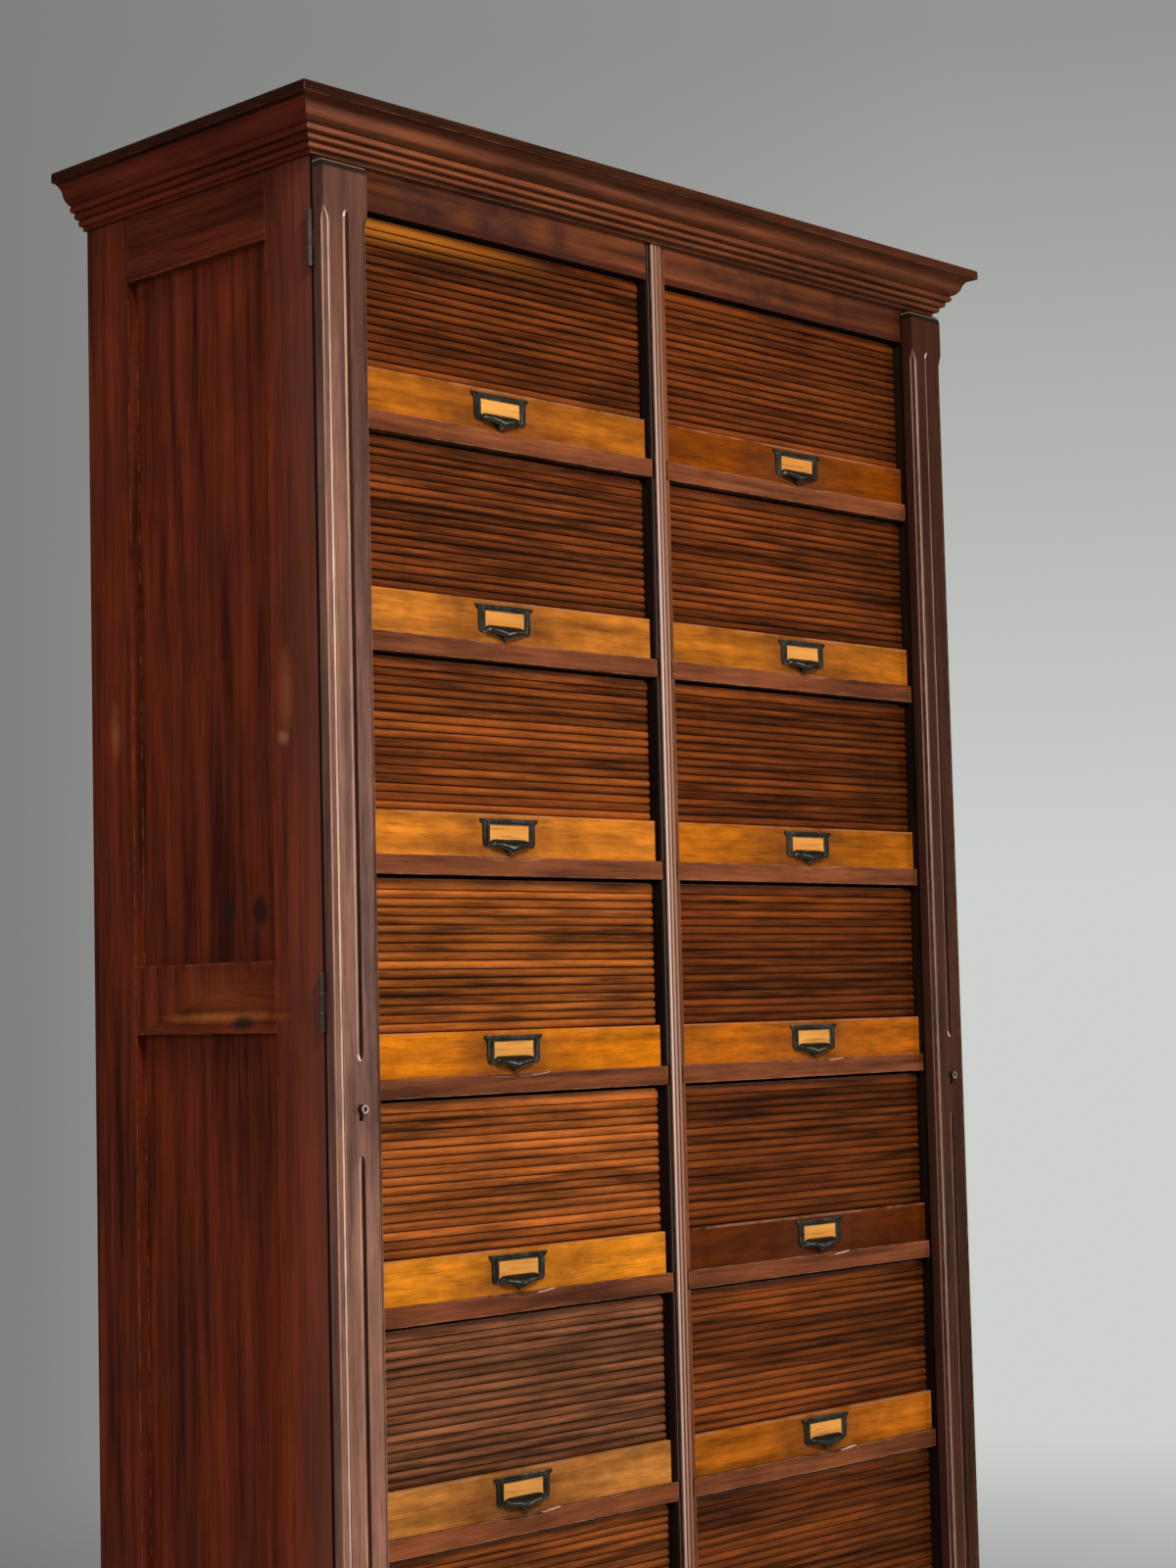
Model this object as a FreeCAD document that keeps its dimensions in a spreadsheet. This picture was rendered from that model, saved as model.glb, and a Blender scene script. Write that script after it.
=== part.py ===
import FreeCAD, Part
import math
import os
import re

import Sketcher

# Roll-front filing cabinet: two columns of drawers with slatted curtains, between hinged locking pilasters.
# X is the width, Y the depth and Z the height. The front faces -Y and the cabinet stands on Z = 0.
# The origin is at the bottom centre of the box that holds the whole cabinet, cornice included.

SIZES = {
    "row_count": 8,
    "case_width": 810.0,
    "case_depth": 300.0,
    "row_pitch": 180.0,
    "row_gap": 4.0,
    "plinth_height": 90.0,
    "plinth_projection": 20.0,
    "plinth_thickness": 32.0,
    "rail_height": 26.0,
    "rail_thickness": 18.0,
    "frieze_height": 34.3,
    "frieze_gap": 2.0,
    "cornice_height": 45.5,
    "cornice_projection": 37.0,
    "cornice_arris": 2.5,
    "cornice_fillet_height": 9.2,
    "cornice_fillet_step": 3.0,
    "cornice_cyma_height": 17.0,
    "cornice_cyma_depth": 17.5,
    "cornice_cyma_bulge": 1.7,
    "cornice_reed_height": 5.4,
    "cornice_reed_step": 4.4,
    "cornice_reed_bulge": 1.3,
    "cornice_foot": 4.0,
    "top_thickness": 18.0,
    "back_thickness": 8.0,
    "side_thickness": 22.0,
    "stile_width": 58.0,
    "side_rail_height": 57.0,
    "side_top_rail_height": 84.0,
    "side_mid_rail_height": 862.0,
    "panel_recess": 9.5,
    "panel_thickness": 8.0,
    "panel_tongue": 6.0,
    "panel_slack": 0.4,
    "wall_thickness": 22.8,
    "divider_thickness": 25.0,
    "dado_depth": 4.0,
    "dado_slack": 0.5,
    "runner_width": 14.0,
    "runner_height": 2.0,
    "runner_slack": 0.3,
    "reed_radius": 2.6,
    "reed_pitch": 5.2,
    "reed_base": 2.4,
    "reed_strip_width": 17.0,
    "box_gap": 2.2,
    "tongue_length": 2.6,
    "ledge_setback": 0.3,
    "ledge_thickness": 16.0,
    "drawer_back_gap": 6.0,
    "drawer_headroom": 0.5,
    "board_setback": 4.0,
    "board_height": 36.0,
    "drawer_side": 9.0,
    "drawer_back": 9.0,
    "drawer_back_drop": 27.2,
    "scoop_width": 82.0,
    "scoop_depth": 2.7,
    "scoop_reach": 3.2,
    "curtain_setback": 7.5,
    "curtain_radius": 10.0,
    "curtain_lap": 9.0,
    "slat_pitch": 7.35,
    "slat_width": 7.1,
    "slat_depth": 3.6,
    "slat_round": 2.0,
    "slat_end_gap": 0.5,
    "slat_rest": 0.3,
    "slat_slack": 0.35,
    "rib_width": 2.2,
    "rib_depth": 7.2,
    "rib_end_thickness": 1.8,
    "rib_slack": 0.3,
    "groove_depth": 3.0,
    "groove_gap": 0.5,
    "groove_run": 128.0,
    "pull_width": 60.0,
    "pull_height": 23.6,
    "pull_ear": 3.6,
    "pull_ear_drop": 5.4,
    "pull_tip_height": 7.0,
    "pull_tip_width": 17.0,
    "pull_lift": 8.3,
    "pull_offset": 9.7,
    "pull_thickness": 2.4,
    "window_width": 45.0,
    "window_height": 17.0,
    "window_margin": 3.4,
    "card_thickness": 0.8,
    "card_lap": 2.0,
    "card_slack": 0.2,
    "hood_width": 42.0,
    "hood_height": 9.5,
    "hood_reach": 11.5,
    "hood_wall": 1.4,
    "hood_root": 0.8,
    "pilaster_clearance": 0.6,
    "pilaster_gap": 1.6,
    "pilaster_depth": 13.2,
    "pilaster_end_gap": 2.0,
    "pilaster_drop": 2.0,
    "pilaster_chamfer": 3.4,
    "block_height": 36.5,
    "foot_block_height": 26.0,
    "flute_radius": 3.4,
    "flute_depth": 2.4,
    "cap_radius": 10.0,
    "lock_height": 744.5,
    "lock_zone_above": 37.5,
    "lock_zone_below": 36.0,
    "lock_width": 24.0,
    "lock_length": 58.0,
    "lock_thickness": 9.0,
    "lock_slack": 0.2,
    "key_radius": 3.8,
    "key_slot_width": 4.2,
    "key_slot_length": 9.2,
    "keyway_depth": 6.0,
    "key_pin_radius": 1.0,
    "key_pin_depth": 0.5,
    "key_tube_radius": 3.25,
    "key_tube_wall": 1.1,
    "key_tube_reach": 5.0,
    "hinge_length": 46.0,
    "hinge_end_distance": 43.5,
    "hinge_above_lock": 60.5,
    "hinge_width": 13.0,
    "leaf_thickness": 1.2,
    "leaf_proud": 0.15,
    "knuckle_radius": 2.5,
    "knuckle_gap": 0.3,
    "hinge_offset": 2.65,
    "hinge_pin_radius": 1.1,
    "hinge_pin_fit": 0.05,
    "overrun": 1.0,
}

# Places worked out from the sizes above, each from the ones before it.
PLACES = {
    "front_y": "(cornice_projection - case_depth) / 2",
    "half_width": "case_width / 2",
    "first_row_z": "plinth_height + rail_height + row_gap",
    "drawer_height": "row_pitch - runner_height - runner_slack - drawer_headroom",
    "drawers_top": "first_row_z + (row_count - 1) * row_pitch + drawer_height",
    "frieze_z": "drawers_top + frieze_gap",
    "cornice_z": "frieze_z + frieze_height",
    "case_top": "cornice_z + cornice_height",
    "top_board_z": "case_top - top_thickness",
    "back_y": "front_y + case_depth - back_thickness",
    "wall_face": "half_width - side_thickness - wall_thickness",
    "opening_width": "wall_face - divider_thickness / 2",
    "column_x": "divider_thickness / 2 + opening_width / 2",
    "pull_x": "column_x + pull_offset",
    "box_width": "opening_width - 2 * box_gap",
    "drawer_y": "front_y + ledge_setback",
    "drawer_length": "case_depth - back_thickness - drawer_back_gap - ledge_setback",
    "drawer_back_height": "drawer_height - ledge_thickness - drawer_back_drop",
    "side_front": "curtain_setback + slat_depth + slat_slack",
    "side_top": "drawer_height - slat_depth - slat_slack",
    "side_round": "curtain_radius - slat_depth - slat_slack",
    "side_arc_z": "side_top - side_round",
    "side_arc_y": "side_front + side_round",
    "board_top": "ledge_thickness + board_height",
    "groove_near": "rib_depth - rib_end_thickness - rib_slack",
    "groove_far": "rib_depth + rib_slack",
    "near_y": "curtain_setback + groove_near",
    "far_y": "curtain_setback + groove_far",
    "near_top": "drawer_height - groove_near",
    "far_top": "drawer_height - groove_far",
    "near_radius": "curtain_radius - groove_near",
    "far_radius": "curtain_radius - groove_far",
    "bend_y": "curtain_setback + curtain_radius",
    "bend_z": "drawer_height - curtain_radius",
    "groove_end": "bend_y + groove_run",
    "pull_z": "ledge_thickness + pull_lift",
    "pull_top": "pull_z + pull_height",
    "pull_left": "-pull_width / 2",
    "pull_right": "pull_width / 2",
    "ear_left": "-pull_width / 2 - pull_ear",
    "ear_right": "pull_width / 2 + pull_ear",
    "ear_z": "pull_top - pull_ear_drop",
    "tip_left": "-pull_tip_width / 2",
    "tip_right": "pull_tip_width / 2",
    "tip_z": "pull_z - pull_tip_height",
    "middle": "(pull_left + pull_right) / 2",
    "window_left": "-window_width / 2",
    "window_right": "window_width / 2",
    "window_top": "pull_top - window_margin",
    "window_z": "window_top - window_height",
    "pilaster_width": "side_thickness + wall_thickness + box_gap - pilaster_clearance",
    "pilaster_back": "front_y - pilaster_gap",
    "pilaster_front": "pilaster_back - pilaster_depth",
    "pilaster_z": "plinth_height + pilaster_end_gap",
    "pilaster_top": "cornice_z - pilaster_drop",
    "shaft_z": "pilaster_z + foot_block_height",
    "shaft_top": "pilaster_top - block_height",
    "flute_x": "half_width - pilaster_width / 2",
    "lock_z": "plinth_height + lock_height",
    "hinge_x": "half_width + hinge_offset",
    "hinge_y": "front_y - pilaster_gap / 2",
}

doc = FreeCAD.newDocument("roll_front_cabinet")


def fill_sheet(name, entries, to_text):
    """Makes a sheet with one aliased cell for each entry."""
    sheet = doc.addObject("Spreadsheet::Sheet", name)
    for row, (alias, entry) in enumerate(entries.items(), start=1):
        sheet.set("A%d" % row, alias)
        sheet.setAlias("B%d" % row, alias)
        sheet.set("B%d" % row, to_text(entry))
    doc.recompute()
    return sheet


def bound(text):
    """Names the sheet in front of each size or place in an expression."""
    def with_sheet(word):
        name = word.group()
        if name in SIZES:
            return "sizes." + name
        return "places." + name if name in PLACES else name
    return re.sub(r"[a-z_]+", with_sheet, text)


def place_formula(text):
    """A formula cell: names of its own sheet stay bare."""
    own = re.sub(r"[a-z_]+", lambda w: "sizes." + w.group() if w.group() in SIZES else w.group(), text)
    return "=" + own


sizes = fill_sheet("sizes", SIZES, str)
places = fill_sheet("places", PLACES, place_formula)


def value(name):
    """The number that a size or a place now has."""
    return float(sizes.get(name) if name in SIZES else places.get(name))


def put(feature, corner):
    """Binds where a feature stands."""
    for axis, text in zip("xyz", corner):
        feature.setExpression("Placement.Base." + axis, bound(text))
    return feature


def board(name, corner, extent):
    """A box from its low corner and its three lengths."""
    box = doc.addObject("Part::Box", name)
    for side, text in zip(("Length", "Width", "Height"), extent):
        box.setExpression(side, bound(text))
    return put(box, corner)


def rod(name, foot, radius, length, axis=(0, 0, 1)):
    """A cylinder from the centre of its foot, along an axis."""
    cylinder = doc.addObject("Part::Cylinder", name)
    turn = FreeCAD.Rotation(FreeCAD.Vector(0, 0, 1), FreeCAD.Vector(*axis))
    cylinder.Placement = FreeCAD.Placement(FreeCAD.Vector(), turn)
    cylinder.setExpression("Radius", bound(radius))
    cylinder.setExpression("Height", bound(length))
    return put(cylinder, foot)


def group(name, members):
    """Separate solids kept together."""
    compound = doc.addObject("Part::Compound", name)
    compound.Links = members
    return compound


def cut(name, base, tools):
    """The base less its tools, which may touch nothing else."""
    feature = doc.addObject("Part::Cut", name)
    feature.Base = base
    feature.Tool = tools[0] if len(tools) == 1 else group(name + "_tools", tools)
    return feature


def fuse(name, members):
    """One solid from members that overlap or share faces."""
    feature = doc.addObject("Part::MultiFuse", name)
    feature.Shapes = members
    feature.Refine = True
    return feature


def mirrored(name, source, normal=(1, 0, 0)):
    """The same piece on the other side of the middle."""
    feature = doc.addObject("Part::Mirroring", name)
    feature.Source = source
    feature.Normal = FreeCAD.Vector(*normal)
    return feature


def outline(body, plane, corners):
    """A closed sketch on one of the body's own planes. Each corner is two named places, and a
    third name makes the stretch to the next corner a clockwise arc of that radius."""
    sketch = body.newObject("Sketcher::SketchObject", body.Name + "_outline")
    origin = [item for item in body.Origin.OriginFeatures if item.Role == plane]
    sketch.AttachmentSupport = [(origin[0], "")]
    sketch.MapMode = "FlatFace"
    points = [FreeCAD.Vector(value(corner[0]), value(corner[1]), 0) for corner in corners]
    count = len(points)
    for index, corner in enumerate(corners):
        start, end = points[index], points[(index + 1) % count]
        if len(corner) == 2:
            sketch.addGeometry(Part.LineSegment(start, end))
            continue
        radius = value(corner[2])
        half_chord = (end - start) * 0.5
        rise = math.sqrt(max(radius ** 2 - half_chord.Length ** 2, 0.0))
        across = FreeCAD.Vector(half_chord.y, -half_chord.x, 0).normalize()
        centre = start + half_chord + across * rise
        middle = centre - across * radius
        sketch.addGeometry(Part.Arc(start, middle, end))
    for index, corner in enumerate(corners):
        follower = (index + 1) % count
        # An arc keeps its counter-clockwise sense, so a clockwise one is entered at its end point.
        leave = 1 if len(corner) == 3 else 2
        enter = 2 if len(corners[follower]) == 3 else 1
        sketch.addConstraint(Sketcher.Constraint("Coincident", index, leave, follower, enter))
        first = 2 if len(corner) == 3 else 1
        for kind, name in (("DistanceX", corner[0]), ("DistanceY", corner[1])):
            held = sketch.addConstraint(Sketcher.Constraint(kind, -1, 1, index, first, value(name)))
            sketch.setExpression("Constraints[%d]" % held, bound(name))
        if len(corner) == 3:
            held = sketch.addConstraint(Sketcher.Constraint("Radius", index, value(corner[2])))
            sketch.setExpression("Constraints[%d]" % held, bound(corner[2]))
    return sketch


def sink(body, sketch, depth, kind="Pocket", backwards=False):
    """Pads a sketch, or pockets it, by a bound length."""
    feature = body.newObject("PartDesign::" + kind, body.Name + "_" + kind.lower())
    feature.Profile = sketch
    feature.setExpression("Length", bound(depth))
    feature.Reversed = backwards
    doc.recompute()
    return feature


def side_frame():
    """Frame-and-panel side at -X: two stiles, three rails and two loose panels in their grooves."""
    edge, front, bottom = "-half_width", "front_y", "plinth_height"
    tall = "top_board_z - plinth_height"
    inner = "case_depth - 2 * stile_width"
    groove_x = "-half_width + panel_recess"
    groove_width = "panel_thickness + panel_slack"
    stiles = []
    for name, start, mouth in (("front", front, front + " + stile_width - panel_tongue"),
                               ("back", front + " + case_depth - stile_width",
                                front + " + case_depth - stile_width")):
        stile = board(name + "_stile_blank", (edge, start, bottom), ("side_thickness", "stile_width", tall))
        groove = board(name + "_stile_groove",
                       (groove_x, mouth, bottom + " + side_rail_height - panel_tongue"),
                       (groove_width, "panel_tongue", tall + " - side_rail_height - side_top_rail_height"
                        " + 2 * panel_tongue"))
        cutters = [groove]
        if name == "front":
            cutters += leaf_recesses("side_recess", "front_y", "leaf_thickness - leaf_proud")
        stiles.append(cut(name + "_stile", stile, cutters))
    rails = []
    heights = (("bottom", bottom, "side_rail_height"),
               ("middle", "plinth_height + side_mid_rail_height - side_rail_height", "side_rail_height"),
               ("top", "top_board_z - side_top_rail_height", "side_top_rail_height"))
    for name, start, height in heights:
        rail = board(name + "_rail_blank", (edge, front + " + stile_width", start),
                     ("side_thickness", inner, height))
        grooves = []
        if name != "top":
            grooves.append(board(name + "_rail_groove_over",
                                 (groove_x, front + " + stile_width",
                                  start + " + " + height + " - panel_tongue"),
                                 (groove_width, inner, "panel_tongue")))
        if name != "bottom":
            grooves.append(board(name + "_rail_groove_under", (groove_x, front + " + stile_width", start),
                                 (groove_width, inner, "panel_tongue")))
        rails.append(cut(name + "_side_rail", rail, grooves))
    panels = []
    spans = (("lower", heights[0], heights[1]), ("upper", heights[1], heights[2]))
    for name, under, over in spans:
        start = under[1] + " + " + under[2] + " - panel_tongue + panel_slack"
        panels.append(board(name + "_panel",
                            (groove_x + " + panel_slack / 2",
                             front + " + stile_width - panel_tongue + panel_slack", start),
                            ("panel_thickness", inner + " + 2 * panel_tongue - 2 * panel_slack",
                             "(" + over[1] + ") + panel_tongue - panel_slack - (" + start + ")")))
    return stiles + rails + panels


def hinge_heights():
    """The foot of each of the three hinges: one near each end and one just above the lock."""
    return ["pilaster_z + hinge_end_distance", "lock_z + hinge_above_lock",
            "pilaster_top - hinge_end_distance - hinge_length"]


def leaf_recesses(name, start, depth):
    """Where the hinge leaves at -X are let into the wood."""
    return [board(name, ("-half_width - knuckle_radius", start, height + " - panel_slack"),
                  ("hinge_width + knuckle_radius + panel_slack", depth, "hinge_length + 2 * panel_slack"))
            for height in hinge_heights()]


def drawer_walls():
    """Upright boards that carry the drawers: a wall at each side with a runner under each drawer,
    and the divider with a dado for each drawer on both faces."""
    tall = "top_board_z - plinth_height"
    deep = "case_depth - back_thickness"
    wall = board("wall_left", ("-half_width + side_thickness", "front_y", "plinth_height"),
                 ("wall_thickness", deep, tall))
    blank = board("divider_blank", ("-divider_thickness / 2", "front_y", "plinth_height"),
                  ("divider_thickness", deep, tall))
    dadoes, runners = [], []
    for row in range(int(value("row_count"))):
        ledge_z = "first_row_z + row_pitch * %d" % row
        for side in ("-divider_thickness / 2", "divider_thickness / 2 - dado_depth"):
            dadoes.append(board("dado", (side, "front_y", ledge_z + " - dado_slack"),
                                ("dado_depth", "case_depth", "ledge_thickness + 2 * dado_slack")))
        runners.append(board("runner", ("-wall_face", "front_y + rail_thickness",
                                        ledge_z + " - runner_height - runner_slack"),
                             ("runner_width", deep + " - rail_thickness", "runner_height")))
    pieces = [wall] + runners
    right = [mirrored(piece.Name + "_right", piece) for piece in pieces]
    return pieces + right + [cut("divider", blank, dadoes)]


def carcass_boards():
    """Floor of each bay, top board over everything and thin back."""
    floor = board("floor_left", ("-wall_face", "front_y + rail_thickness", "plinth_height"),
                  ("opening_width", "case_depth - back_thickness - rail_thickness", "top_thickness"))
    top = board("top_board", ("-half_width", "front_y", "top_board_z"),
                ("case_width", "case_depth", "top_thickness"))
    back = board("back_board", ("-half_width + side_thickness", "back_y", "plinth_height"),
                 ("case_width - 2 * side_thickness", "back_thickness", "top_board_z - plinth_height"))
    return [floor, mirrored("floor_right", floor), top, back]


def front_rails():
    """Frieze and bottom rail of each bay, and the reeded strip on the divider's front edge."""
    frieze = board("frieze_left", ("-wall_face", "front_y", "frieze_z"),
                   ("opening_width", "rail_thickness", "top_board_z - frieze_z"))
    bottom = board("bottom_rail_left", ("-wall_face", "front_y", "plinth_height"),
                   ("opening_width", "rail_thickness", "rail_height"))
    tall = "cornice_z - plinth_height"
    strip = [board("reed_base_strip", ("-reed_strip_width / 2", "front_y - reed_base", "plinth_height"),
                   ("reed_strip_width", "reed_base", tall))]
    for step in (-1, 0, 1):
        strip.append(rod("reed", ("%d * reed_pitch" % step, "front_y - reed_base", "plinth_height"),
                         "reed_radius", tall))
    flat = board("reed_trim", ("-reed_strip_width", "front_y", "plinth_height"),
                 ("2 * reed_strip_width", "reed_strip_width", tall))
    reeded = cut("reeded_strip", fuse("reeds", strip), [flat])
    return [frieze, bottom, mirrored("frieze_right", frieze), mirrored("bottom_rail_right", bottom), reeded]


def cornice_profile():
    """Cornice section as a face: how far it stands out, and its height above the cornice's foot."""
    height, reach = value("cornice_height"), value("cornice_projection")
    corner = FreeCAD.Vector
    reeds_top = height - value("cornice_fillet_height") - value("cornice_cyma_height")
    edges = []

    def line_to(start, end):
        edges.append(Part.LineSegment(start, end).toShape())
        return end

    def arc_to(start, end, bulge):
        """An arc whose middle lies inwards of the chord by its bulge."""
        chord = end - start
        side = corner(chord.z, 0, -chord.x).normalize()
        edges.append(Part.Arc(start, (start + end) * 0.5 + side * bulge, end).toShape())
        return end

    arris = value("cornice_arris")
    at = line_to(corner(0, 0, height), corner(reach - arris, 0, height))
    at = arc_to(at, corner(reach, 0, height - arris), arris * (math.sqrt(0.5) - 1))
    at = line_to(at, corner(reach, 0, height - value("cornice_fillet_height")))
    at = line_to(at, corner(reach - value("cornice_fillet_step"), 0, at.z))
    half = corner(value("cornice_cyma_depth") / 2, 0, value("cornice_cyma_height") / 2)
    cyma_bulge = value("cornice_cyma_bulge")
    at = arc_to(at, at - half, cyma_bulge)
    at = arc_to(at, at - half, -cyma_bulge)
    reed = value("cornice_reed_height")
    inward = at.x
    for count in range(3):
        at = arc_to(at, corner(at.x, 0, at.z - reed), -value("cornice_reed_bulge"))
        inward = max(inward - value("cornice_reed_step"), value("cornice_foot"))
        at = line_to(at, corner(inward, 0, at.z))
    at = line_to(at, corner(at.x, 0, 0)) if reeds_top - 3 * reed > 0.01 else at
    at = line_to(at, corner(0, 0, 0))
    line_to(at, corner(0, 0, height))
    return Part.Face(Part.Wire(edges))


def cornice():
    """Three cornice mouldings with mitred corners."""
    profile = cornice_profile()
    wide, deep, reach = value("case_width"), value("case_depth"), value("cornice_projection")
    front, foot = value("front_y"), value("cornice_z")
    up = FreeCAD.Vector(0, 0, 1)

    def run(turn, start, direction, length):
        face = profile.copy()
        face.rotate(FreeCAD.Vector(), up, turn)
        face.translate(start - direction * reach)
        return face.extrude(direction * (length + 2 * reach))

    def mitre(sign):
        """The ground on the front moulding's side of one corner's mitre line."""
        corner = [FreeCAD.Vector(sign * x, y, foot - value("overrun")) for x, y in (
            (wide / 2 - deep, front + deep), (wide / 2 + 2 * reach, front - 2 * reach),
            (-wide, front - 2 * reach), (-wide, front + deep))]
        face = Part.Face(Part.makePolygon(corner + corner[:1]))
        return face.extrude(up * (value("cornice_height") + 2 * value("overrun")))

    left, right = mitre(-1), mitre(1)
    front_run = run(-90, FreeCAD.Vector(-wide / 2, front, foot), FreeCAD.Vector(1, 0, 0), wide)
    left_run = run(180, FreeCAD.Vector(-wide / 2, front, foot), FreeCAD.Vector(0, 1, 0), deep - reach)
    right_run = run(0, FreeCAD.Vector(wide / 2, front, foot), FreeCAD.Vector(0, 1, 0), deep - reach)
    shapes = (("cornice_front", front_run.common(left).common(right)),
              ("cornice_left", left_run.cut(left)), ("cornice_right", right_run.cut(right)))
    pieces = []
    for name, shape in shapes:
        piece = doc.addObject("Part::Feature", name)
        piece.Shape = shape.Solids[0]
        pieces.append(piece)
    return pieces


def plinth():
    """Four boards on the floor, with the case standing on them."""
    out = "half_width + plinth_projection"
    front = board("plinth_front", ("-(" + out + ")", "front_y - plinth_projection", "0"),
                  ("2 * (" + out + ")", "plinth_thickness", "plinth_height"))
    behind = "front_y - plinth_projection + plinth_thickness"
    side = board("plinth_left", ("-(" + out + ")", behind, "0"),
                 ("plinth_thickness", "case_depth + plinth_projection - plinth_thickness", "plinth_height"))
    back = board("plinth_back", ("-(" + out + ") + plinth_thickness",
                                 "front_y + case_depth - plinth_thickness", "0"),
                 ("2 * (" + out + " - plinth_thickness)", "plinth_thickness", "plinth_height"))
    return [front, side, mirrored("plinth_right", side), back]


def pilaster():
    """Hinged pilaster at -X: a block at each end, stopped chamfers and a flute that stops at the lock."""
    tall = "pilaster_top - pilaster_z"
    blank = board("pilaster_blank", ("-half_width", "pilaster_front", "pilaster_z"),
                  ("pilaster_width", "pilaster_depth", tall))
    cutters = []
    for edge in ("-half_width", "-half_width + pilaster_width"):
        chamfer = board("chamfer", (edge, "pilaster_front - pilaster_chamfer", "shaft_z"),
                        ("pilaster_chamfer * sqrt(2)", "pilaster_chamfer * sqrt(2)", "shaft_top - shaft_z"))
        chamfer.Placement.Rotation = FreeCAD.Rotation(45, 0, 0)
        cutters.append(chamfer)
    centre_y = "pilaster_front - flute_radius + flute_depth"
    stretches = (("shaft_z", "lock_z - lock_zone_below"), ("lock_z + lock_zone_above", "shaft_top"))
    for start, end in stretches:
        cutters.append(rod("flute", ("-flute_x", centre_y, start), "flute_radius",
                           "(" + end + ") - (" + start + ")"))
    waste = board("cap_waste", ("-half_width - overrun", "pilaster_front - overrun", "pilaster_top - cap_radius"),
                  ("pilaster_width + 2 * overrun", "cap_radius + overrun", "cap_radius + overrun"))
    round_cap = rod("cap_round", ("-half_width - 2 * overrun", "pilaster_front + cap_radius",
                                  "pilaster_top - cap_radius"),
                    "cap_radius", "pilaster_width + 4 * overrun", (1, 0, 0))
    cutters.append(cut("cap_outside", waste, [round_cap]))
    cutters.append(board("lock_mortise",
                         ("-flute_x - lock_width / 2 - lock_slack",
                          "pilaster_back - lock_thickness - lock_slack",
                          "lock_z - lock_length / 2 - lock_slack"),
                         ("lock_width + 2 * lock_slack", "lock_thickness + 2 * lock_slack",
                          "lock_length + 2 * lock_slack")))
    cutters.append(rod("key_bow_hole", ("-flute_x", "pilaster_front - overrun", "lock_z"),
                       "key_radius", "pilaster_depth", (0, 1, 0)))
    cutters += leaf_recesses("pilaster_recess", "pilaster_back - leaf_thickness + leaf_proud",
                             "leaf_thickness")
    keyhole_slot = board("key_slot", ("-flute_x - key_slot_width / 2", "pilaster_front - overrun",
                                      "lock_z - key_slot_length"),
                         ("key_slot_width", "pilaster_depth - lock_thickness + overrun", "key_slot_length"))
    bored = cut("pilaster_bored", blank, cutters)
    return [cut("pilaster_shaft", bored, [keyhole_slot])]


def hinge_leaf(name, heights, face, thickness, own, with_pin):
    """One leaf of each hinge at -X: its plate and its share of the three knuckles."""
    third = "hinge_length / 3"
    leaves = []
    for height in heights:
        parts = [board(name + "_plate", ("-half_width + knuckle_gap", face, height),
                       ("hinge_width - knuckle_gap", thickness, "hinge_length"))]
        for index in own:
            start = height + " + %d * %s" % (index, third)
            if index:
                start += " + knuckle_gap / 2"
            length = third + (" - knuckle_gap" if index == 1 else " - knuckle_gap / 2")
            parts.append(rod(name + "_knuckle", ("-hinge_x", "hinge_y", start), "knuckle_radius", length))
            parts.append(board(name + "_tab", ("-hinge_x", face, start),
                               ("hinge_offset + knuckle_gap", thickness, length)))
        bore = rod(name + "_bore", ("-hinge_x", "hinge_y", height + " - overrun"),
                   "hinge_pin_radius + hinge_pin_fit", "hinge_length + 2 * overrun")
        leaves.append(cut(name, fuse(name + "_solid", parts), [bore]))
        if with_pin:
            leaves.append(rod("hinge_pin", ("-hinge_x", "hinge_y", height), "hinge_pin_radius",
                              "hinge_length"))
    return leaves


def lock():
    """Lock case let into the pilaster's back, its pin, and the brass tube round it in the keyhole."""
    face = "pilaster_back - lock_thickness"
    case = board("lock_case", ("-flute_x - lock_width / 2", face, "lock_z - lock_length / 2"),
                 ("lock_width", "lock_thickness", "lock_length"))
    keyway = board("keyway", ("-flute_x - key_slot_width / 2", face + " - overrun", "lock_z - key_slot_length"),
                   ("key_slot_width", "keyway_depth + overrun", "key_slot_length - key_tube_radius"))
    mouth = "pilaster_front - key_tube_reach"
    pin = rod("key_pin", ("-flute_x", mouth + " + key_pin_depth", "lock_z"), "key_pin_radius",
              "pilaster_depth - lock_thickness / 2 + key_tube_reach - key_pin_depth", (0, 1, 0))
    tube = rod("key_tube_full", ("-flute_x", mouth, "lock_z"), "key_tube_radius",
               "pilaster_depth - lock_thickness + key_tube_reach", (0, 1, 0))
    bore = rod("key_tube_bore", ("-flute_x", mouth + " - overrun", "lock_z"), "key_tube_radius - key_tube_wall",
               "pilaster_depth + key_tube_reach", (0, 1, 0))
    return [fuse("lock", [cut("lock_body", case, [keyway]), pin]), cut("key_tube", tube, [bore])]


def drawer_bottom(side):
    """Drawer bottom, whose front edge is the ledge: its tongue runs in the divider's dado."""
    reach = "(box_gap + tongue_length)"
    start = "-box_width / 2" if side < 0 else "-box_width / 2 - " + reach
    name = "bottom_left" if side < 0 else "bottom_right"
    blank = board(name + "_blank", (start, "0", "0"),
                  ("box_width + " + reach, "drawer_length", "ledge_thickness"))
    radius = "((scoop_width / 2) ^ 2 + scoop_depth ^ 2) / (2 * scoop_depth)"
    scoop = rod(name + "_scoop", ("%d * pull_offset" % side, "-scoop_reach",
                                  "ledge_thickness - scoop_depth + " + radius), radius,
                "2 * scoop_reach", (0, 1, 0))
    return cut(name, blank, [scoop])


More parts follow.
